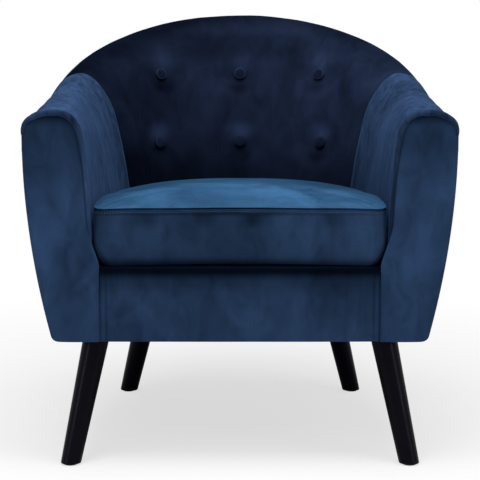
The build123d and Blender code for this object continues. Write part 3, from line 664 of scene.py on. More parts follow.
def moulded(name, rgb, roughness, metallic=0.0):
    """Plain hard finish with slightly uneven gloss, for plastic and metal fittings."""
    finish = Finish(name)
    cloud = finish.noise(finish.place(), 120.0, detail=3.0)
    tone = finish.blend(cloud, linear(rgb, 0.85), linear(rgb, 1.1))
    return finish.surface({"Base Color": tone, "Roughness": cloud * 0.15 + roughness, "Metallic": metallic})


# Operators

def arm_sections(end):
    """Sections of the right arm, from its seam with the back to its end."""
    s = shell()
    bend = [section(angle) for angle in steps(s.seam_angle, 0.0, BEND_STEPS)]
    return bend + [section(0.0, y) for y in steps(s.turn_y, end, STRAIGHT_STEPS)[1:]]


DIP_DEPTH = 0.007  # of the arm top behind its rolled front edge
DIP_BEHIND = 0.008  # from the roll back to the deepest place
DIP_RUN = 0.045  # how far the dip reaches from there
DIP_HEIGHT = 0.070  # from the top of the arm down to where the dip ends


def arm_front_dip(p, z):
    """The arm sinks a little behind the rolled front edge."""
    s = shell()
    behind = p.y - s.front_edge - s.roll_run - DIP_BEHIND
    return DIP_DEPTH * smooth(p.top - DIP_HEIGHT, p.top, z) * bell(behind, DIP_RUN)


Edge = namedtuple("Edge", "radius z normal roll tuck inset full")
ROLL_STARTS = (-30.0, 5.0)  # degrees round the outer corner of the arm front
ROLL_CLIMBS = (0.345, 0.420)  # heights on the inner side
TUCK_STARTS = (10.0, 55.0)  # degrees round the outer corner, where the facing begins to tuck under
FULLEST, FULL_REACH = 30.0, 20.0  # degrees round the outer corner
INSET_LOW, INSET_HIGH = -0.105, 0.009  # from the top of the arm


def front_edges():
    """Points over the front edge of the arm, each with its share of the roll and its inset to the facing."""
    s = shell()
    front = section(0.0, s.arm_front)
    points = face_line(front, FACE_STEPS)
    edges = []
    for (radius, z), normal in zip(points, line_normals(points)):
        over = math.degrees(math.atan2(z - front.top + s.roll, radius - front.rim + s.roll))
        outside = radius > front.rim - s.roll
        roll = smooth(*ROLL_STARTS, over) if outside else smooth(*ROLL_CLIMBS, z)
        tuck = smooth(*TUCK_STARTS, over) if outside else roll
        full = s.roll_full * bell(over - FULLEST, FULL_REACH) if outside else 0.0
        high = smooth(front.top + INSET_LOW, front.top + INSET_HIGH, z)
        inset = s.roll_side + (s.roll_top - s.roll_side) * high
        edges.append(Edge(radius, z, normal, roll, tuck, inset * tuck, full))
    return edges


class ARMCHAIR_OT_arms(bpy.types.Operator):
    """Inside arms: padding that rolls over the arm tops and round the front edge"""

    bl_idname = "armchair.arms"
    bl_label = "Inside Arms"
    roll_steps = 12  # rows over the rolled front edge
    turned_under = ((0.75, -1.0), (0.45, -1.5))  # last rows of the roll: how far forward, and how far in

    def execute(self, context):
        finish = velvet("velvet_inside_arm", colours().velvet_arm, 0.25, stretch=0.3, streak=2.4, pitch=60.0)
        layers = self.layers()
        for side in ("left", "right"):
            placed = layers if side == "right" else [mirrored(pair) for pair in layers]
            piece = padded_mesh(f"{side}_arm_padding", placed)
            paint_light_and_shade(piece, self.shade)
            finish_piece(piece, finish, "chair", [f"{side}_arm_cover", f"{side}_arm_foam"])
        return {"FINISHED"}

    def layers(self):
        s = shell()
        start = s.front_edge + s.roll_run
        layers = []
        lines = FaceLines(FACE_STEPS)
        for part in steps(1.0, 0.0, BEND_STEPS):
            turns = [seam * part for seam in lines.seam]
            layers.append(bent_layer(lines, turns, s.pad_depth, self.bent_sink))
        for y in steps(s.turn_y, start, STRAIGHT_STEPS)[1:]:
            p = section(0.0, y)
            layers.append(layer(p, face_line(p, FACE_STEPS), s.pad_depth, self.sink))
        base = section(0.0, start)
        edges = front_edges()
        inner = layers[-1][1]
        for turn in steps(0.0, math.pi / 2, self.roll_steps)[1:]:
            inward, ahead = 1 - math.cos(turn) ** 0.7, math.sin(turn) ** 0.8
            layers.append(([self.rolled(base, e, inward, ahead, math.sin(2 * turn)) for e in edges], inner))
        for ahead, swell in self.turned_under:
            layers.append(([self.rolled(base, e, 1.0, ahead, swell) for e in edges], inner))
        return layers

    def sink(self, p, at, radius):
        s = shell()
        lip = LIP_SEAM * seam_dip(at.z - p.top + s.lip) if radius > p.rim - 0.001 else 0.0
        return lip + arm_front_dip(p, at.z)

    def bent_sink(self, lines, at, turn, j):
        return lip_dip(j) + seam_dip((lines.seam[j] - turn) * abs(at.x) / math.cos(turn))

    def shade(self, at, normal):
        """Painted light on top of the arms; low down, painted shade on the right arm and painted light on the
        left.
        """
        low = 1 - smooth(0.44, 0.56, at.z)
        return 0.25 * smooth(0.5, 0.95, normal.z) - (0.55 if at.x > 0 else -0.2) * low

    def rolled(self, base, edge, inward, ahead, swell):
        """A point of the rolled front edge; where there is no roll the arm ends square at its facing."""
        s = shell()
        front = s.arm_front + (s.front_edge - s.arm_front) * edge.roll
        at = place(base, edge.radius, edge.z)
        out = (softness(at) - arm_front_dip(base, edge.z)) * (1 - ahead) - edge.inset * inward
        out += s.roll_swell * swell * (1.0 if swell < 0 else edge.roll) + edge.full * ahead
        point = place(base, edge.radius + edge.normal[0] * out, edge.z + edge.normal[1] * out)
        point.y = base.y + (front - base.y) * ahead
        return point


class ARMCHAIR_OT_inside_back(bpy.types.Operator):
    """Inside back: a curved pad drawn in at its buttons"""

    bl_idname = "armchair.inside_back"
    bl_label = "Inside Back"
    across, down = 170, 100  # steps from seam to seam and down the face
    darkest = -0.72  # darkest painted shade of the pile
    above = (0.022, 0.026, 0.015)  # painted light over a button, and painted shade under it: height over it, half width and half height
    below = (-0.022, 0.021, 0.021)

    def execute(self, context):
        self.tufts = tufts()
        lines = FaceLines(self.down)
        layers = []
        for part in steps(0.0, 1.0, self.across):
            turns = [seam + (math.pi - 2 * seam) * part for seam in lines.seam]
            layers.append(bent_layer(lines, turns, shell().back_depth, self.sink))
        piece = padded_mesh("inside_back_padding", layers)
        paint_light_and_shade(piece, self.shade)
        finish = velvet("velvet_inside_back", colours().velvet_back, 0.06)
        finish_piece(piece, finish, "chair", ["inside_back_cover", "inside_back_foam"])
        return {"FINISHED"}

    def sink(self, lines, at, turn, j):
        seam = min(turn, math.pi - turn) - lines.seam[j]
        radius = math.hypot(at.x, at.y - shell().turn_y)
        return lip_dip(j) + seam_dip(seam * radius) + tuft_pull(self.tufts, at)

    def shade(self, at, normal):
        """Painted shade on the rim, low down and below each button; painted light above each button and
        behind the rim.
        """
        # painted shade where the rim faces up and low down, painted light towards the right
        rim = smooth(0.45, 0.9, normal.z) * (1 - 0.45 * smooth(0.16, 0.26, -at.x))
        shade = 0.3 * at.x / 0.2 - 0.58 * rim - 0.6 * (1 - smooth(0.45, 0.56, at.z))
        middle = 1 - smooth(0.08, 0.16, abs(at.x))
        # darker across the top middle
        shade -= 0.35 * middle * smooth(0.66, 0.69, at.z) * (1 - smooth(0.715, 0.735, at.z))
        # lighter where the cover turns out behind the rim, taking off the painted shade in the inside back's
        # colour
        outward = Vector((at.x, at.y - shell().turn_y, 0.0)).normalized()
        shade += 1.9 * smooth(0.25, 0.8, normal.dot(outward))
        # painted light above each button and painted shade below it
        for tuft in self.tufts:
            offset = at - tuft.point
            light = 2.0 if tuft.point.z > 0.6 else 3.2
            for (rise, wide, tall), change in ((self.above, light), (self.below, -0.4)):
                away = math.hypot(math.hypot(offset.x, offset.y) / wide, (offset.z - rise) / tall)
                shade += change * bell(away, 1.0)
        return max(self.darkest, shade)


Tuft = namedtuple("Tuft", "point out")


def tufts():
    """Where each button draws the inside back in, and which way it faces."""
    t, s = tuft_sizes(), shell()
    found = []
    for z in (t.low, t.high):
        for column in (-1, 0, 1):
            low, high = s.seam_angle, math.pi / 2
            for _ in range(40):
                angle = (low + high) / 2
                wide = inside_radius(section(angle), z) * math.cos(angle) > t.spacing * abs(column)
                low, high = (angle, high) if wide else (low, angle)
            angle = math.pi - angle if column < 0 else angle
            p = section(angle)
            radius = inside_radius(p, z)
            lean = math.atan(inside_slope(p, z))
            flat = math.cos(lean)
            out = Vector((-math.cos(angle) * flat, -math.sin(angle) * flat, math.sin(lean)))
            found.append(Tuft(place(p, radius, z), out))
    return found


def tuft_pull(found, point):
    """How far the buttons draw the pad in at a point of its face."""
    t = tuft_sizes()
    pull = 0.0
    for tuft in found:
        offset = point - tuft.point
        behind = -offset.dot(tuft.out)
        distance = (offset + tuft.out * behind).length
        if distance < t.spread:
            part = max(0.0, (distance - t.floor) / (t.spread - t.floor))
            pull += (t.depth - behind) * (0.5 + 0.5 * math.cos(math.pi * part)) ** 1.5
    return pull


class ARMCHAIR_OT_buttons(bpy.types.Operator):
    """Covered buttons, each a domed disc with its cloth gathered round the edge"""

    bl_idname = "armchair.buttons"
    bl_label = "Buttons"
    gap = 0.0009  # to the floor of the tuft
    dome, under = 0.26, 0.25  # height and depth, as shares of the radius
    lift = 0.0032  # from its seat up to the middle of its edge
    gathers, gather_depth = 14, 0.012  # folds round the edge, as a share of the radius
    gather_start = 0.75  # share of the radius at which they start

    def execute(self, context):
        t = tuft_sizes()
        self.tufts = tufts()
        made = []
        for tuft in self.tufts:
            seat = tuft.point - tuft.out * (t.depth - self.gap)
            turn = tuft.out.to_track_quat("Z", "Y").to_euler()
            ball = {"segments": 40, "ring_count": 20, "radius": t.button}
            button = added(bpy.ops.mesh.primitive_uv_sphere_add, location=seat, rotation=turn, **ball)
            self.shape(button, t.button)
            made.append(button)
        pick(*made)
        bpy.ops.object.join()
        piece = bpy.context.object
        piece.name = "covered_buttons"
        bpy.ops.object.transform_apply(location=True, rotation=True, scale=True)
        bpy.ops.object.shade_smooth()
        paint_light_and_shade(piece, self.shade)
        # the inside back's colour, painted shade included
        finish = velvet("velvet_button", colours().velvet_back, 0.15)
        finish_piece(piece, finish, "chair", ["tuft_buttons"])
        return {"FINISHED"}

    def shade(self, at, normal):
        """Painted highlight round the edge of a button, strongest in the upper row, over a darkened middle.
        """
        t = tuft_sizes()
        tuft = min(self.tufts, key=lambda other: (other.point - at).length)
        offset = at - tuft.point
        flat = (offset - tuft.out * offset.dot(tuft.out)).length / t.button
        return (1.2 if at.z > (t.low + t.high) / 2 else 0.3) * smooth(0.72, 0.92, flat) - 0.3

    def shape(self, button, radius):
        """Flattens a ball to a button: a low dome on each side of an edge with small gathers."""
        for vertex in button.data.vertices:
            flat = math.hypot(vertex.co.x, vertex.co.y) / radius
            around = math.atan2(vertex.co.y, vertex.co.x)
            edge = max(0.0, flat - self.gather_start) / (1 - self.gather_start)
            gather = 1.0 + self.gather_depth * math.cos(self.gathers * around) * edge
            vertex.co.z *= self.dome if vertex.co.z > 0 else self.under
            vertex.co.z += self.lift
            vertex.co.x *= gather
            vertex.co.y *= gather


class ARMCHAIR_OT_outside(bpy.types.Operator):
    """Outside covers: stretched panels that draw in to the bottom and turn under the body"""

    bl_idname = "armchair.outside"
    bl_label = "Outside Covers"
    gap = 0.0005  # to the seam and to the facing
    edge, hem = 0.006, 0.014  # radius of the bottom edge, and what turns under
    depth = 0.003
    back_steps, side_steps = 120, 60

    def execute(self, context):
        s = shell()
        finish = velvet("velvet_outside", colours().velvet, 0.3)
        arm = []
        for p in arm_sections(s.arm_front + self.gap):
            seam = (s.seam_angle - p.angle) * p.rim if p.angle > 0 else p.y - s.arm_front
            arm.append(self.panel(p, seam))
        back = []
        for angle in steps(s.seam_angle, math.pi - s.seam_angle, self.back_steps):
            p = section(angle)
            seam = min(p.angle - s.seam_angle, math.pi - s.seam_angle - p.angle) * p.rim
            back.append(self.panel(p, seam))
        mirror = [mirrored(pair) for pair in arm]
        panels = {"left_outside_arm": mirror, "right_outside_arm": arm, "outside_back": back}
        for name, layers in panels.items():
            piece = padded_mesh(f"{name}_panel", layers)
            finish_piece(piece, finish, "chair", [f"{name}_cover"])
        return {"FINISHED"}

    def panel(self, p, seam):
        """From under the body, round the bottom edge and up to the seam under the rolled rim."""
        s = shell()
        top, edge = p.top - s.lip - self.gap, self.edge
        centre = outer_radius(p, s.bottom + edge) - edge
        points = [(r, s.bottom) for r in steps(centre - self.hem, centre, 4)[:-1]]
        for turn in steps(-math.pi / 2, 0.0, 8)[:-1]:
            points.append((centre + edge * math.cos(turn), s.bottom + edge * (1 + math.sin(turn))))
        points += [(outer_radius(p, z), z) for z in steps(s.bottom + edge, top, self.side_steps)]

        def sink(p, at, radius):
            return LIP_SEAM * seam_dip(seam) + LIP_SEAM * seam_dip(top - at.z)

        return layer(p, points, self.depth, sink)


class ARMCHAIR_OT_facings(bpy.types.Operator):
    """Arm facings: padded panels on the arm fronts, under the rolled edge of the arms"""

    bl_idname = "armchair.facings"
    bl_label = "Arm Facings"
    foot = 0.2368  # middle of the chair to the inner edge, low down
    foot_rise = (0.335, 0.385)  # heights over which that edge runs out to the arm
    corner = 0.009  # radius of the outer bottom corner
    swell = 0.003  # how far the panel stands out of the arm at its sides
    under = 0.001  # how far it hangs under the body
    gap = 0.0004  # to the arm behind it
    top_gap = 0.0002  # under the highest point of its outline
    across, up = 48, 120  # steps
    outer_round, inner_round, top_round, bottom_round = 0.007, 0.006, 0.007, 0.003
    deepest = 0.0130  # furthest that its edges fall back
    puff = 0.0022  # in the middle
    sunk, sunk_top = 0.0020, 0.0035  # behind the front of the chair, and what the top adds to that
    sunk_rise = (0.45, 0.60)  # heights over which it is added
    uneven = 0.0006

    def execute(self, context):
        finish = velvet("velvet_facing", colours().velvet, 0.3)
        rows = self.rows()
        for side in ("left", "right"):
            placed = rows if side == "right" else mirrored(rows)
            piece = sheet_mesh(f"{side}_facing_panel", placed)
            close_up(piece)
            paint_light_and_shade(piece, self.shade)
            finish_piece(piece, finish, "chair", [f"{side}_arm_facing"])
        return {"FINISHED"}

    def shade(self, at, normal):
        """Painted shadow under the rolled edge of the arm, and painted shade growing towards the bottom."""
        low = 1 - smooth(0.24, 0.36, at.z)
        return -0.45 * smooth(0.575, 0.600, at.z) - 0.35 * smooth(0.46, 0.56, at.z) - 0.2 * low

    def outline(self):
        """Top of the panel as two climbing lines (x, z), outer and inner, inside the arm's rolled edge."""
        s = shell()
        middle = section(0.0, s.arm_front).rim - s.arm_wall / 2
        inner, outer = [], []
        for e in front_edges():
            side = outer if e.radius > middle else inner
            out = self.swell * (1 - e.tuck) - e.inset + e.full
            side.append((e.radius + e.normal[0] * out, e.z + e.normal[1] * out))
        return outer, inner[::-1]

    def edges(self, z, outer_line, inner_line):
        """Inner and outer edge of the panel at a height."""
        s = shell()
        p = section(0.0, s.arm_front)
        outer = crossing(outer_line, z) if z > outer_line[0][1] else outer_radius(p, z) + self.swell
        inner = crossing(inner_line, max(z, s.pad_bottom))
        inner += (self.foot - inner) * (1 - smooth(*self.foot_rise, z))
        below = self.corner - (z - s.bottom + self.under)
        if below > 0:
            outer -= self.corner - math.sqrt(max(0.0, self.corner**2 - below**2))
        return inner, outer

    def rows(self):
        s = shell()
        outer_line, inner_line = self.outline()
        bottom = s.bottom - self.under
        top = max(z for x, z in outer_line) - self.top_gap
        wall = s.arm_front - self.gap
        rows = []
        for z in eased(bottom, top, self.up):
            inner, outer = self.edges(z, outer_line, inner_line)
            row = [Vector((inner, wall, z))]
            for x in eased(inner, outer, self.across):
                row.append(Vector((x, self.front(x, z, inner, outer, top, bottom), z)))
            row.append(Vector((outer - self.swell, wall, z)))
            rows.append(row)
        first, last = ([Vector((point.x, wall, point.z)) for point in rows[end]] for end in (0, -1))
        return [first] + rows + [last]

    def front(self, x, z, inner, outer, top, bottom):
        """Depth of the panel's face: rounded at its outer and bottom edges, tucked in at the other two."""
        s = shell()
        back = rounded(outer - x, self.outer_round) + rounded(z - bottom, self.bottom_round)
        back = max(back, rounded(x - inner, self.inner_round), rounded(top - z, self.top_round))
        puff = self.puff * 4 * (x - inner) * (outer - x) / max(1e-6, (outer - inner) ** 2)
        sunk = self.sunk + self.sunk_top * smooth(*self.sunk_rise, z)
        swell = softness(Vector((x, s.front, z)), self.uneven)
        return s.front + sunk + min(back, self.deepest) - puff + swell


class ARMCHAIR_OT_front_border(bpy.types.Operator):
    """Front border: a padded panel under the cushion, with a narrow sewn strip at each end"""

    bl_idname = "armchair.front_border"
    bl_label = "Front Border"
    half = 0.2363
    front, back, top = -0.3365, -0.2955, 0.3405
    under = 0.001  # how far it hangs under the body
    hem = (-0.3205, -0.3255)  # turned under the body
    rail = ((back, 0.3190), (-0.3190, 0.3190), (-0.3195, 0.3100))  # points (y, z) round the rail behind it
    top_round, bottom_round = 0.011, 0.004
    flat, low_flat = 0.003, 0.010  # from the top edge and from the bottom to the flat of the front
    across, up = 160, 36  # steps
    inside = (-0.325, 0.28)  # middle (y, z) of the panel's ends
    strip, strip_depth, strip_width = 0.0112, 0.0032, 0.0018  # its seam: from the end, depth and width
    end_depth, end_width = 0.004, 0.0035  # end seam
    face = -0.3300  # only what lies in front of this is drawn in and swelled
    pucker, pucker_pitch = 0.0018, 0.0105
    pucker_from, pucker_reach = 0.030, 0.022  # where they are deepest, from the end, and how far they reach
    pucker_low, pucker_rise = 0.262, 0.08  # height where they begin, and over which they grow
    puff, uneven = 0.0015, 0.0007

    def execute(self, context):
        line = self.line(shell().bottom - self.under)
        widths = [self.half * math.sin(math.pi * (i / self.across - 0.5)) for i in range(self.across + 1)]
        rows = [[self.point(x, y, z) for y, z in line] for x in widths]
        first, last = ([Vector((rows[end][0].x, *self.inside)) for _ in line] for end in (0, -1))
        piece = sheet_mesh("front_border_panel", [first] + rows + [last], wrap=True)
        close_up(piece)
        paint_light_and_shade(piece, self.shade)
        finish = velvet("velvet_border", colours().velvet, 0.12)
        finish_piece(piece, finish, "chair", ["front_border"])
        return {"FINISHED"}

    def shade(self, at, normal):
        """Darker all over, with painted shadow growing towards the cushion and darkest right under it."""
        return -0.23 - 0.3 * smooth(0.285, 0.325, at.z) - 0.42 * smooth(0.318, 0.336, at.z)

    def line(self, low):
        """Points (y, z) round the panel, from its hem up the front and back round the rail."""
        radius, foot = self.top_round, self.bottom_round
        line = [(y, low) for y in self.hem]
        for turn in steps(0.0, math.pi / 2, 8):
            line.append((self.front + foot * (1 - math.sin(turn)), low + foot * (1 - math.cos(turn))))
        line += [(self.front, z) for z in steps(low + self.low_flat, self.top - radius - self.flat, self.up)]
        for turn in steps(0.0, math.pi / 2, 10):
            y = self.front + radius * (1 - math.cos(turn))
            line.append((y, self.top - radius + radius * math.sin(turn)))
        line += [(y, self.top) for y in steps(self.front + radius + self.flat, self.back, 8)]
        return line + list(self.rail)

    def point(self, x, y, z):
        """A point of the panel with its strip seams, end seams and the puckers near them."""
        edge = self.half - abs(x)
        ahead = -1.0 if y < self.face else 0.0
        dip = self.strip_depth * bell(abs(edge - self.strip), self.strip_width)
        dip += self.end_depth * bell(edge, self.end_width)
        high = max(0.0, (z - self.pucker_low) / self.pucker_rise)
        near = bell(edge - self.pucker_from, self.pucker_reach)
        fold = math.sin((edge + 0.05 * high * edge) * 2 * math.pi / self.pucker_pitch)
        puff = self.puff * (1 - (x / self.half) ** 2)
        swell = softness(Vector((x, y, z)), self.uneven)
        out = (puff - dip + self.pucker * near * high * fold + swell) * ahead
        return Vector((x, y + out, z))


BACK_GAP_ANGLE = math.radians(47.0)  # round from the turn, where the gap at the back is reached


def seat_outline(z, inset, front, gap, back_gap, corner):
    """Points round a piece that lies inside the shell, counter-clockwise from its front middle."""
    s = shell()

    def wall(angle, y=None):
        part = min(1.0, min(angle, math.pi - angle) / BACK_GAP_ANGLE)
        return inside_radius(section(angle, y), z) - inset - gap - (back_gap - gap) * part

    def side(y):
        return wall(0.0, max(y, s.arm_front))

    front_y = front + inset
    half = side(front_y)
    right = [Vector((half * t, front_y, z)) for t in steps(0.0, 1 - corner / half, 22)]
    for turn in steps(-math.pi / 2, 0.0, 8)[1:-1]:
        centre_x = half - corner
        right.append(Vector((centre_x + corner * math.cos(turn), front_y + corner * (1 + math.sin(turn)), z)))
    right += [Vector((side(y), y, z)) for y in steps(front_y + corner, s.turn_y, 26)]
    for angle in steps(0.0, math.pi / 2, 44)[1:]:
        radius = wall(angle)
        right.append(Vector((radius * math.cos(angle), s.turn_y + radius * math.sin(angle), z)))
    left = [Vector((-point.x, point.y, z)) for point in reversed(right[1:-1])]
    return right + left


class ARMCHAIR_OT_cushion(bpy.types.Operator):
    """Loose seat cushion: a sewn cover swelled by its filling, with a folded and topstitched top seam"""

    bl_idname = "armchair.cushion"
    bl_label = "Seat Cushion"
    bottom_rings = 13
    middle = Vector((0.0, -0.095, 0.0))
    seam = (
        (0.0, 0.0018), (0.0012, -0.0024), (0.0024, -0.0036), (0.0040, -0.0012), (0.0055, 0.0002),
        (0.0068, -0.0012), (0.0082, -0.0002), (0.0100, 0.0), (0.0130, 0.0),
    )  # rows of the folded top seam: depth under it, and how far the cover stands out there
    stitch_row = 5
    slack = 0.0015  # all round, for the swell
    side_swell = 0.003  # furthest that the filling may push the cover sideways
    zip_height, zip_past, zip_depth = 0.006, 0.006, 0.0035  # hollow at the zip: reach, past its ends, depth
    thread = 0.0007  # radius
    thread_out = 0.0002  # how far the thread stands out
    stitch_share = 0.32  # half the length of its thread, as a share of a stitch with its gap

    def execute(self, context):
        c = cushion_sizes()
        rings, top_seam, stitch_ring = self.rings(c)
        width = len(rings[0])
        piece = self.build(rings)
        before = [vertex.co.copy() for vertex in piece.data.vertices]
        self.swell(context, piece, c, top_seam, width)
        self.cap(piece, before, c.cap)
        self.sew(piece, top_seam, width)
        start = 1 + stitch_ring * width
        path = [piece.data.vertices[start + i].co.copy() for i in range(width)]
        for face in piece.data.polygons:
            ring = (min(face.vertices) - 1) // width
            on_border = self.bottom_rings - 1 <= ring < top_seam and len(face.vertices) == 4
            face.material_index = int(on_border)
        apply_modifier(piece, "SUBSURF", levels=1, render_levels=1)
        paint_light_and_shade(piece, self.shade)
        finish = velvet("velvet_cushion", colours().velvet_seat, 0.35)
        finish_piece(piece, finish, "cushion", ["cushion_cover", "cushion_foam"])
        piece.data.materials.append(velvet("velvet_cushion_border", colours().velvet_border, 0.3))
        self.stitches(path, c)
        return {"FINISHED"}

    def outline(self, c, z, inset):
        """Ring of points at a height, bowed up towards the middle of the front and of each side."""
        ring = seat_outline(z, inset, c.front, c.gap, c.back_gap, c.corner)
        for point in ring:
            across = max(0.0, 1 - (point.x / 0.24) ** 2)
            point.z += c.bow * across * (1 - smooth(c.front, c.front + 0.2, point.y))
            along = min(1.0, max(0.0, (point.y - c.front) / c.side_run))
            lift = math.sin(math.pi * along**0.7) * smooth(0.10, 0.20, abs(point.x))
            point.z += c.side_bow * lift * (z - c.bottom) / (c.top - c.bottom)
        return ring

    def shade(self, at, normal):
        """Painted shade on the border's seams and lower edge and where the top falls to the sides and back;
        border darker in its middle.
        """
        c = cushion_sizes()
        top = smooth(0.5, 0.9, normal.z)
        drop = c.top - at.z
        # border: lighter to the right and darker in the middle
        border = 0.14 * at.x / 0.2 - 0.28 * bell(at.x, 0.12)
        # painted shadow of puckers under the top seam
        under = smooth(0.004, 0.011, drop) * (1 - smooth(0.016, 0.036, drop))
        border -= 0.6 * under * max(0.0, 0.25 + noise.noise(Vector((at.x / 0.045, 0.0, 0.0))))
        # painted shade right under the top seam and along the bottom of the border
        border -= 0.4 * (1 - smooth(0.006, 0.011, drop)) + 0.45 * (1 - smooth(0.004, 0.020, at.z - c.bottom))
        # painted light on the top's front slope and painted shade where it falls to the sides and back
        away = max(normal.y, 0.8 * abs(normal.x))
        painted_top_light = 0.06 * at.x / 0.2 + 0.2 * smooth(0.0, 0.12, -normal.y) - 0.45 * smooth(-0.01, 0.08, away)
        return border * (1 - top) + (painted_top_light + 0.08) * top

    def rings(self, c):
        """Rings from the middle of the underside to that of the top, with the top seam's place among them."""
        count = self.bottom_rings
        shares = [0.07 + 0.93 * math.sin(math.pi / 2 * i / count) for i in range(count)]

        def panel(z, rise, inset):
            edge = self.outline(c, z, inset)
            made = []
            for part in shares:
                height = z + rise * math.sqrt(1 - part**4)
                flat = [(self.middle + (q - self.middle) * part).xy for q in edge]
                made.append([Vector((*at, height + (q.z - z) * part**3)) for at, q in zip(flat, edge)])
            return made

        half = (c.top - c.bottom) / 2
        levels = [c.bottom, c.bottom + 0.002, c.bottom + 0.005, c.bottom + 0.010]
        levels += steps(c.bottom + 0.018, c.top - 0.020, 9)
        levels += [c.top - drop for drop, _ in reversed(self.seam)]
        border = []
        for z in levels:
            up, down = (z - c.bottom) / c.round, (c.top - z) / half
            low = c.inset * max(0.0, 1 - up) ** 1.6
            border.append(self.outline(c, z, low + c.top_inset * max(0.0, 1 - down) ** 2.4 + self.slack))
        top = panel(c.top, c.crown, c.top_inset + self.slack)
        rings = panel(c.bottom, 0.0, c.inset + self.slack) + border + list(reversed(top))
        top_seam = len(shares) + len(levels) - 1
        return rings, top_seam, top_seam - self.stitch_row

    def build(self, rings):
        width = len(rings[0])
        points = [Vector((*self.middle.xy, rings[0][0].z))]
        points += [point for ring in rings for point in ring]
        points.append(Vector((*self.middle.xy, rings[-1][0].z)))
        faces = []
        for j in range(width):
            k = (j + 1) % width
            faces.append((0, 1 + k, 1 + j))
            for i in range(len(rings) - 1):
                low, high = 1 + i * width, 1 + (i + 1) * width
                faces.append((low + j, low + k, high + k, high + j))
            last = 1 + (len(rings) - 1) * width
            faces.append((last + j, last + k, len(points) - 1))
        return new_piece("seat_cushion", points, faces)

    def swell(self, context, piece, c, top_seam, width):
        """Inflates the cover as cloth, held at its seams and underside."""
        held = piece.vertex_groups.new(name="held")
        bottom_last = 1 + (self.bottom_rings + 1) * width
        seam = 1 + top_seam * width
        held.add(list(range(bottom_last)), 1.0, "REPLACE")
        held.add(list(range(seam, seam + width)), 1.0, "REPLACE")
        pick(piece)
        made = piece.modifiers.new("Cloth", "CLOTH")
        cloth = made.settings
        cloth.quality = 6
        cloth.tension_stiffness = 12
        cloth.compression_stiffness = 12
        cloth.bending_stiffness = 0.6
        cloth.use_pressure = True
        cloth.uniform_pressure_force = c.pressure
        cloth.vertex_group_mass = "held"
        cloth.effector_weights.gravity = 0.0
        made.point_cache.frame_start = 1
        made.point_cache.frame_end = c.frames
        for number in range(1, c.frames + 1):
            context.scene.frame_set(number)
        bpy.ops.object.modifier_apply(modifier=made.name)
        context.scene.frame_set(1)
        piece.vertex_groups.clear()

    def cap(self, piece, before, most):
        """Keeps the swell to its cap, and off the arms and the back."""
        for vertex, start in zip(piece.data.vertices, before):
            move = vertex.co - start
            side = Vector((move.x, move.y, 0.0))
            if side.length > self.side_swell:
                move -= side * (1 - self.side_swell / side.length)
            if move.length > most:
                move *= most / move.length
            vertex.co = start + move

    def sew(self, piece, top_seam, width):
        """Folds the top seam over the border, draws in the stitch line and sinks the zip's border."""
        vertices = piece.data.vertices
        for row, (_, shift) in enumerate(self.seam):
            ring = 1 + (top_seam - row) * width
            for i in range(width):
                before = vertices[ring + (i - 1) % width].co
                after = vertices[ring + (i + 1) % width].co
                along = (after - before).xy.normalized()
                point = vertices[ring + i].co
                point.x += along.y * shift
                point.y -= along.x * shift
        low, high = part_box("cushion_zip")
        zip_x, zip_z = high[0] + self.zip_past, (low[2] + high[2]) / 2
        for vertex in vertices:
            near = bell(vertex.co.z - zip_z, self.zip_height)
            if vertex.co.y > 0.02 and abs(vertex.co.x) < zip_x:
                vertex.co.y -= self.zip_depth * near

    def stitches(self, path, c):
        """Thread along the seam: one stitch modelled once and copied all round."""
        pattern = added(bpy.ops.mesh.primitive_ico_sphere_add, subdivisions=1, radius=1.0)
        shape = [vertex.co.copy() for vertex in pattern.data.vertices]
        sides = [tuple(face.vertices) for face in pattern.data.polygons]
        bpy.data.objects.remove(pattern)
        points, faces = [], []
        spare = 0.0
        for start, end in zip(path, path[1:] + path[:1]):
            run = end - start
            if run.length < 1e-6:
                continue
            along = run.normalized()
            out = Vector((along.y, -along.x, 0.0))
            at = spare
            while at < run.length:
                middle = start + along * at + out * self.thread_out
                first = len(points)
                for q in shape:
                    long = along * q.x * c.stitch * self.stitch_share
                    points.append(middle + long + out * q.y * self.thread + Vector((0, 0, q.z * self.thread)))
                faces += [tuple(first + index for index in face) for face in sides]
                at += c.stitch
            spare = at - run.length
        piece = new_piece("cushion_topstitch", points, faces)
        lighter = [min(1.0, part * 1.5) for part in colours().velvet_border]
        piece.data.materials.append(moulded("stitch_thread", lighter, 0.6))
        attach(piece, "cushion")


class ARMCHAIR_OT_deck(bpy.types.Operator):
    """Deck pad under the cushion, in dark lining cloth with a sewn edge"""

    bl_idname = "armchair.deck"
    bl_label = "Deck Pad"
    middle = Vector((0.0, -0.09, 0.0))
    gap, corner = 0.001, 0.012
    lower_edge = ((0.004, 0.0), (0.0, 0.004))  # inset, and height over the underside
    upper_edge = (
        (0.0, 0.007), (0.002, 0.003), (0.006, 0.0012), (0.012, 0.0008), (0.016, 0.0022), (0.020, 0.0008)
    )  # inset, and depth under the top, with the sewn line in the last three
    sag = 0.0004  # of the flat, under the top of the solid

    def execute(self, context):
        low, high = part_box("deck_pad")
        middle, top = self.middle, high[2]

        def ring(inset, z):
            edge = seat_outline(shell().pad_bottom, inset, low[1], self.gap, self.gap, self.corner)
            return [Vector((point.x, point.y, z)) for point in edge]

        rings = [ring(inset, low[2] + rise) for inset, rise in self.lower_edge]
        rings += [ring(inset, top - drop) for inset, drop in self.upper_edge]
        edge = rings[-1]
        for part in steps(0.95, 0.06, 14):
            rings.append([Vector((*(middle + (q - middle) * part).xy, top - self.sag)) for q in edge])
        centre = [Vector((*middle.xy, top - self.sag)) for _ in edge]
        under = [Vector((*middle.xy, low[2])) for _ in edge]
        piece = sheet_mesh("deck_padding", [under] + rings + [centre], wrap=True)
        close_up(piece)
        finish = lining_cloth("deck_lining", colours().lining)
        finish_piece(piece, finish, "chair", ["deck_pad"])
        return {"FINISHED"}


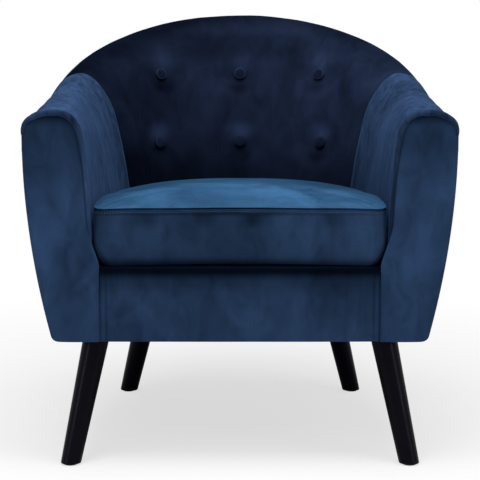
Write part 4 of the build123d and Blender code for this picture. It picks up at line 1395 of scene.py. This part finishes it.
class ARMCHAIR_OT_dust_cover(bpy.types.Operator):
    """Dust cover: thin cloth stretched under the seat, stapled round its edge and cut round the legs"""

    bl_idname = "armchair.dust_cover"
    bl_label = "Dust Cover"
    inset = 0.010  # from the edge of the body
    middle = Vector((0.0, -0.06, 0.0))
    thickness, gap = 0.0006, 0.0003
    sag = 0.0022  # in the middle
    ripple, ripple_pitch = 0.0005, 0.05
    area_share = 0.86  # of width times depth, inside the curved edge and the cuts for the legs
    leg_middle = 0.0245  # inner edges of a leg's box to the middle of its top
    hole_radius = 0.0265
    cut_height, cut_depth = 0.215, 0.02

    def execute(self, context):
        s = shell()
        low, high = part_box("dust_cover")
        middle = self.middle
        right = [section(0.0, y) for y in steps(s.arm_front, s.turn_y, 24)]
        right += [section(angle) for angle in steps(0.0, math.pi, 90)[1:-1]]
        left = [section(math.pi, y) for y in steps(s.turn_y, s.arm_front, 24)]
        edge = [place(p, p.foot - self.inset, 0.0) for p in right + left]
        rows = []
        for part in steps(1.0, 0.02, 40):
            sag = self.sag * (1 - part**4)
            rows.append([self.point(middle + (q - middle) * part, high[2] - self.gap - sag) for q in edge])
        piece = sheet_mesh("dust_cover_cloth", rows, wrap=True)
        apply_modifier(piece, "SOLIDIFY", thickness=self.thickness)
        self.cut_legs(piece)
        close_up(piece)
        finish = lining_cloth("dust_cloth", colours().lining)
        finish_piece(piece, finish, "chair", ["dust_cover"])
        width, deep = high[0] - low[0], high[1] - low[1]
        area = self.area_share * width * deep
        return {"FINISHED"}

    def point(self, at, z):
        ripple = self.ripple * noise.noise(at / self.ripple_pitch)
        return Vector((at.x, at.y, z + ripple))

    def cut_legs(self, piece):
        inner = self.leg_middle
        for end in ("front", "rear"):
            for side in ("left", "right"):
                low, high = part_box(f"{end}_{side}_leg")
                x = low[0] + inner if side == "right" else high[0] - inner
                y = high[1] - inner if end == "front" else low[1] + inner
                drum = {"vertices": 48, "radius": self.hole_radius, "depth": self.cut_depth}
                cutter = added(bpy.ops.mesh.primitive_cylinder_add, location=(x, y, self.cut_height), **drum)
                apply_modifier(piece, "BOOLEAN", operation="DIFFERENCE", object=cutter, solver="EXACT")
                bpy.data.objects.remove(cutter)


class ARMCHAIR_OT_fittings(bpy.types.Operator):
    """Finishes of the legs, frame, springs and other hard pieces"""

    bl_idname = "armchair.fittings"
    bl_label = "Legs and Frame"

    def execute(self, context):
        wood = frame_wood()
        finishes = {
            "leg_lacquer": lacquer(),
            "frame_wood": wood,
            "thin_board": wood,
            "glide_plastic": moulded("glide_plastic", (0.10, 0.10, 0.11), 0.45),
            "steel": moulded("steel", (0.62, 0.62, 0.64), 0.28, metallic=1.0),
            "clip_plastic": moulded("clip_plastic", (0.82, 0.82, 0.79), 0.4),
            "twine": lining_cloth("twine", (0.70, 0.66, 0.56)),
            "zip_tape": lining_cloth("zip_tape", colours().velvet),
            "zip_metal": moulded("zip_metal", (0.16, 0.17, 0.20), 0.32, metallic=1.0),
        }
        for entry in frame["record"]["subparts"]:
            finish = finishes.get(entry["material_slot"])
            node = frame["nodes"].get(entry["node"])
            if finish and node:
                node.data.materials.clear()
                node.data.materials.append(finish)
        return {"FINISHED"}


class ARMCHAIR_OT_stage(bpy.types.Operator):
    """Pale floor, white surround, soft studio lamps and the camera"""

    bl_idname = "armchair.stage"
    bl_label = "Stage"
    lamps = (
        ("key_lamp", (-1.1, -2.2, 2.7), 1.8, 25.0),
        ("side_lamp", (1.9, -1.6, 2.0), 1.6, 12.0),
        ("top_lamp", (0.0, -0.45, 2.6), 1.8, 70.0),
        ("left_low_lamp", (-2.2, -1.8, 0.6), 0.5, 7.0),
        ("right_low_lamp", (2.2, -1.8, 0.6), 0.5, 7.0),
    )  # name, place, size and power
    aim = Vector((0.0, 0.0, 0.4))
    eye = (0.0, -2.94, 0.75)
    tilt = math.radians(82.1)
    lens, sensor = 118.05, 36.0
    floor_size = 14.0
    fade = {"From Min": 0.45, "From Max": 1.5, "To Min": 0.66, "To Max": 1.0}  # floor into white

    def execute(self, context):
        scene = context.scene
        scene.view_settings.view_transform = "Standard"
        self.camera(scene)
        self.surround(scene)
        self.floor()
        for lamp in self.lamps:
            self.lamp(*lamp)
        return {"FINISHED"}

    def camera(self, scene):
        camera = added(bpy.ops.object.camera_add, location=self.eye, rotation=(self.tilt, 0.0, 0.0))
        camera.data.sensor_width = self.sensor
        camera.data.lens = self.lens
        scene.camera = camera

    def surround(self, scene):
        """White to the eye and in reflections, and a gentle fill as light."""
        sky = Finish("surround", "worlds")
        path = sky.node("ShaderNodeLightPath")
        seen = sky.value(path, "Is Camera Ray")
        for name in ("Is Glossy Ray", "Is Transmission Ray"):
            seen = seen.math("MAXIMUM", seen, path.outputs[name])
        fill, white = (
            sky.node("ShaderNodeBackground", {}, {"Color": WHITE, "Strength": strength}).outputs[0]
            for strength in (FILL_LIGHT, 1.0)
        )
        mix = sky.node("ShaderNodeMixShader", {}, {0: seen, 1: fill, 2: white})
        sky.node("ShaderNodeOutputWorld", {}, {"Surface": mix.outputs[0]})
        scene.world = sky.material

    def floor(self):
        floor = added(bpy.ops.mesh.primitive_plane_add, size=self.floor_size)
        floor.name = "floor"
        finish = Finish("pale_floor")
        where = finish.node("ShaderNodeTexCoord").outputs["Object"]
        far = finish.node("ShaderNodeVectorMath", {"operation": "LENGTH"}, {0: where})
        fade = finish.node(
            "ShaderNodeMapRange",
            {"interpolation_type": "SMOOTHSTEP", "clamp": True},
            {"Value": far.outputs["Value"], **self.fade},
        )
        path = finish.node("ShaderNodeLightPath")
        seen = finish.value(path, "Is Camera Ray") * finish.value(fade)
        matte = finish.node("ShaderNodeBsdfDiffuse", {}, {"Color": linear(colours().floor)})
        white = finish.node("ShaderNodeEmission", {}, {"Color": WHITE, "Strength": 1.0})
        mix = finish.node("ShaderNodeMixShader", {}, {0: seen, 1: matte.outputs[0], 2: white.outputs[0]})
        finish.node("ShaderNodeOutputMaterial", {}, {"Surface": mix.outputs[0]})
        floor.data.materials.append(finish.material)

    def lamp(self, name, location, size, power):
        lamp = added(bpy.ops.object.light_add, type="AREA", location=location)
        lamp.name = name
        lamp.data.size = size
        lamp.data.energy = power
        lamp.rotation_euler = (self.aim - Vector(location)).to_track_quat("-Z", "Y").to_euler()


class ARMCHAIR_PT_pieces(bpy.types.Panel):
    """Lists the pieces of the armchair"""

    bl_label = "Tub Armchair"
    bl_idname = "ARMCHAIR_PT_pieces"
    bl_space_type = "VIEW_3D"
    bl_region_type = "UI"
    bl_category = "Armchair"

    def draw(self, context):
        for operator in OPERATORS:
            self.layout.operator(operator.bl_idname)
        for group in SETTINGS:
            box = self.layout.box()
            settings = getattr(context.scene, group)
            for name in settings.__annotations__:
                box.prop(settings, name, text=name.replace("_", " ").capitalize())


OPERATORS = (
    ARMCHAIR_OT_stage,
    ARMCHAIR_OT_inside_back,
    ARMCHAIR_OT_buttons,
    ARMCHAIR_OT_arms,
    ARMCHAIR_OT_outside,
    ARMCHAIR_OT_facings,
    ARMCHAIR_OT_front_border,
    ARMCHAIR_OT_deck,
    ARMCHAIR_OT_cushion,
    ARMCHAIR_OT_dust_cover,
    ARMCHAIR_OT_fittings,
)
SETTINGS = {
    "armchair_shell": ShellSizes,
    "armchair_tufts": TuftSizes,
    "armchair_cushion": CushionSizes,
    "armchair_colours": FinishColours,
}
CLASSES = (*SETTINGS.values(), *OPERATORS, ARMCHAIR_PT_pieces)


def register():
    for made in CLASSES:
        bpy.utils.register_class(made)
    for name, group in SETTINGS.items():
        setattr(bpy.types.Scene, name, PointerProperty(type=group))


def unregister():
    for name in SETTINGS:
        delattr(bpy.types.Scene, name)
    for made in reversed(CLASSES):
        bpy.utils.unregister_class(made)


def main():
    register()
    for operator in OPERATORS:
        group, name = operator.bl_idname.split(".")
        getattr(getattr(bpy.ops, group), name)()


if __name__ == "__main__":
    main()
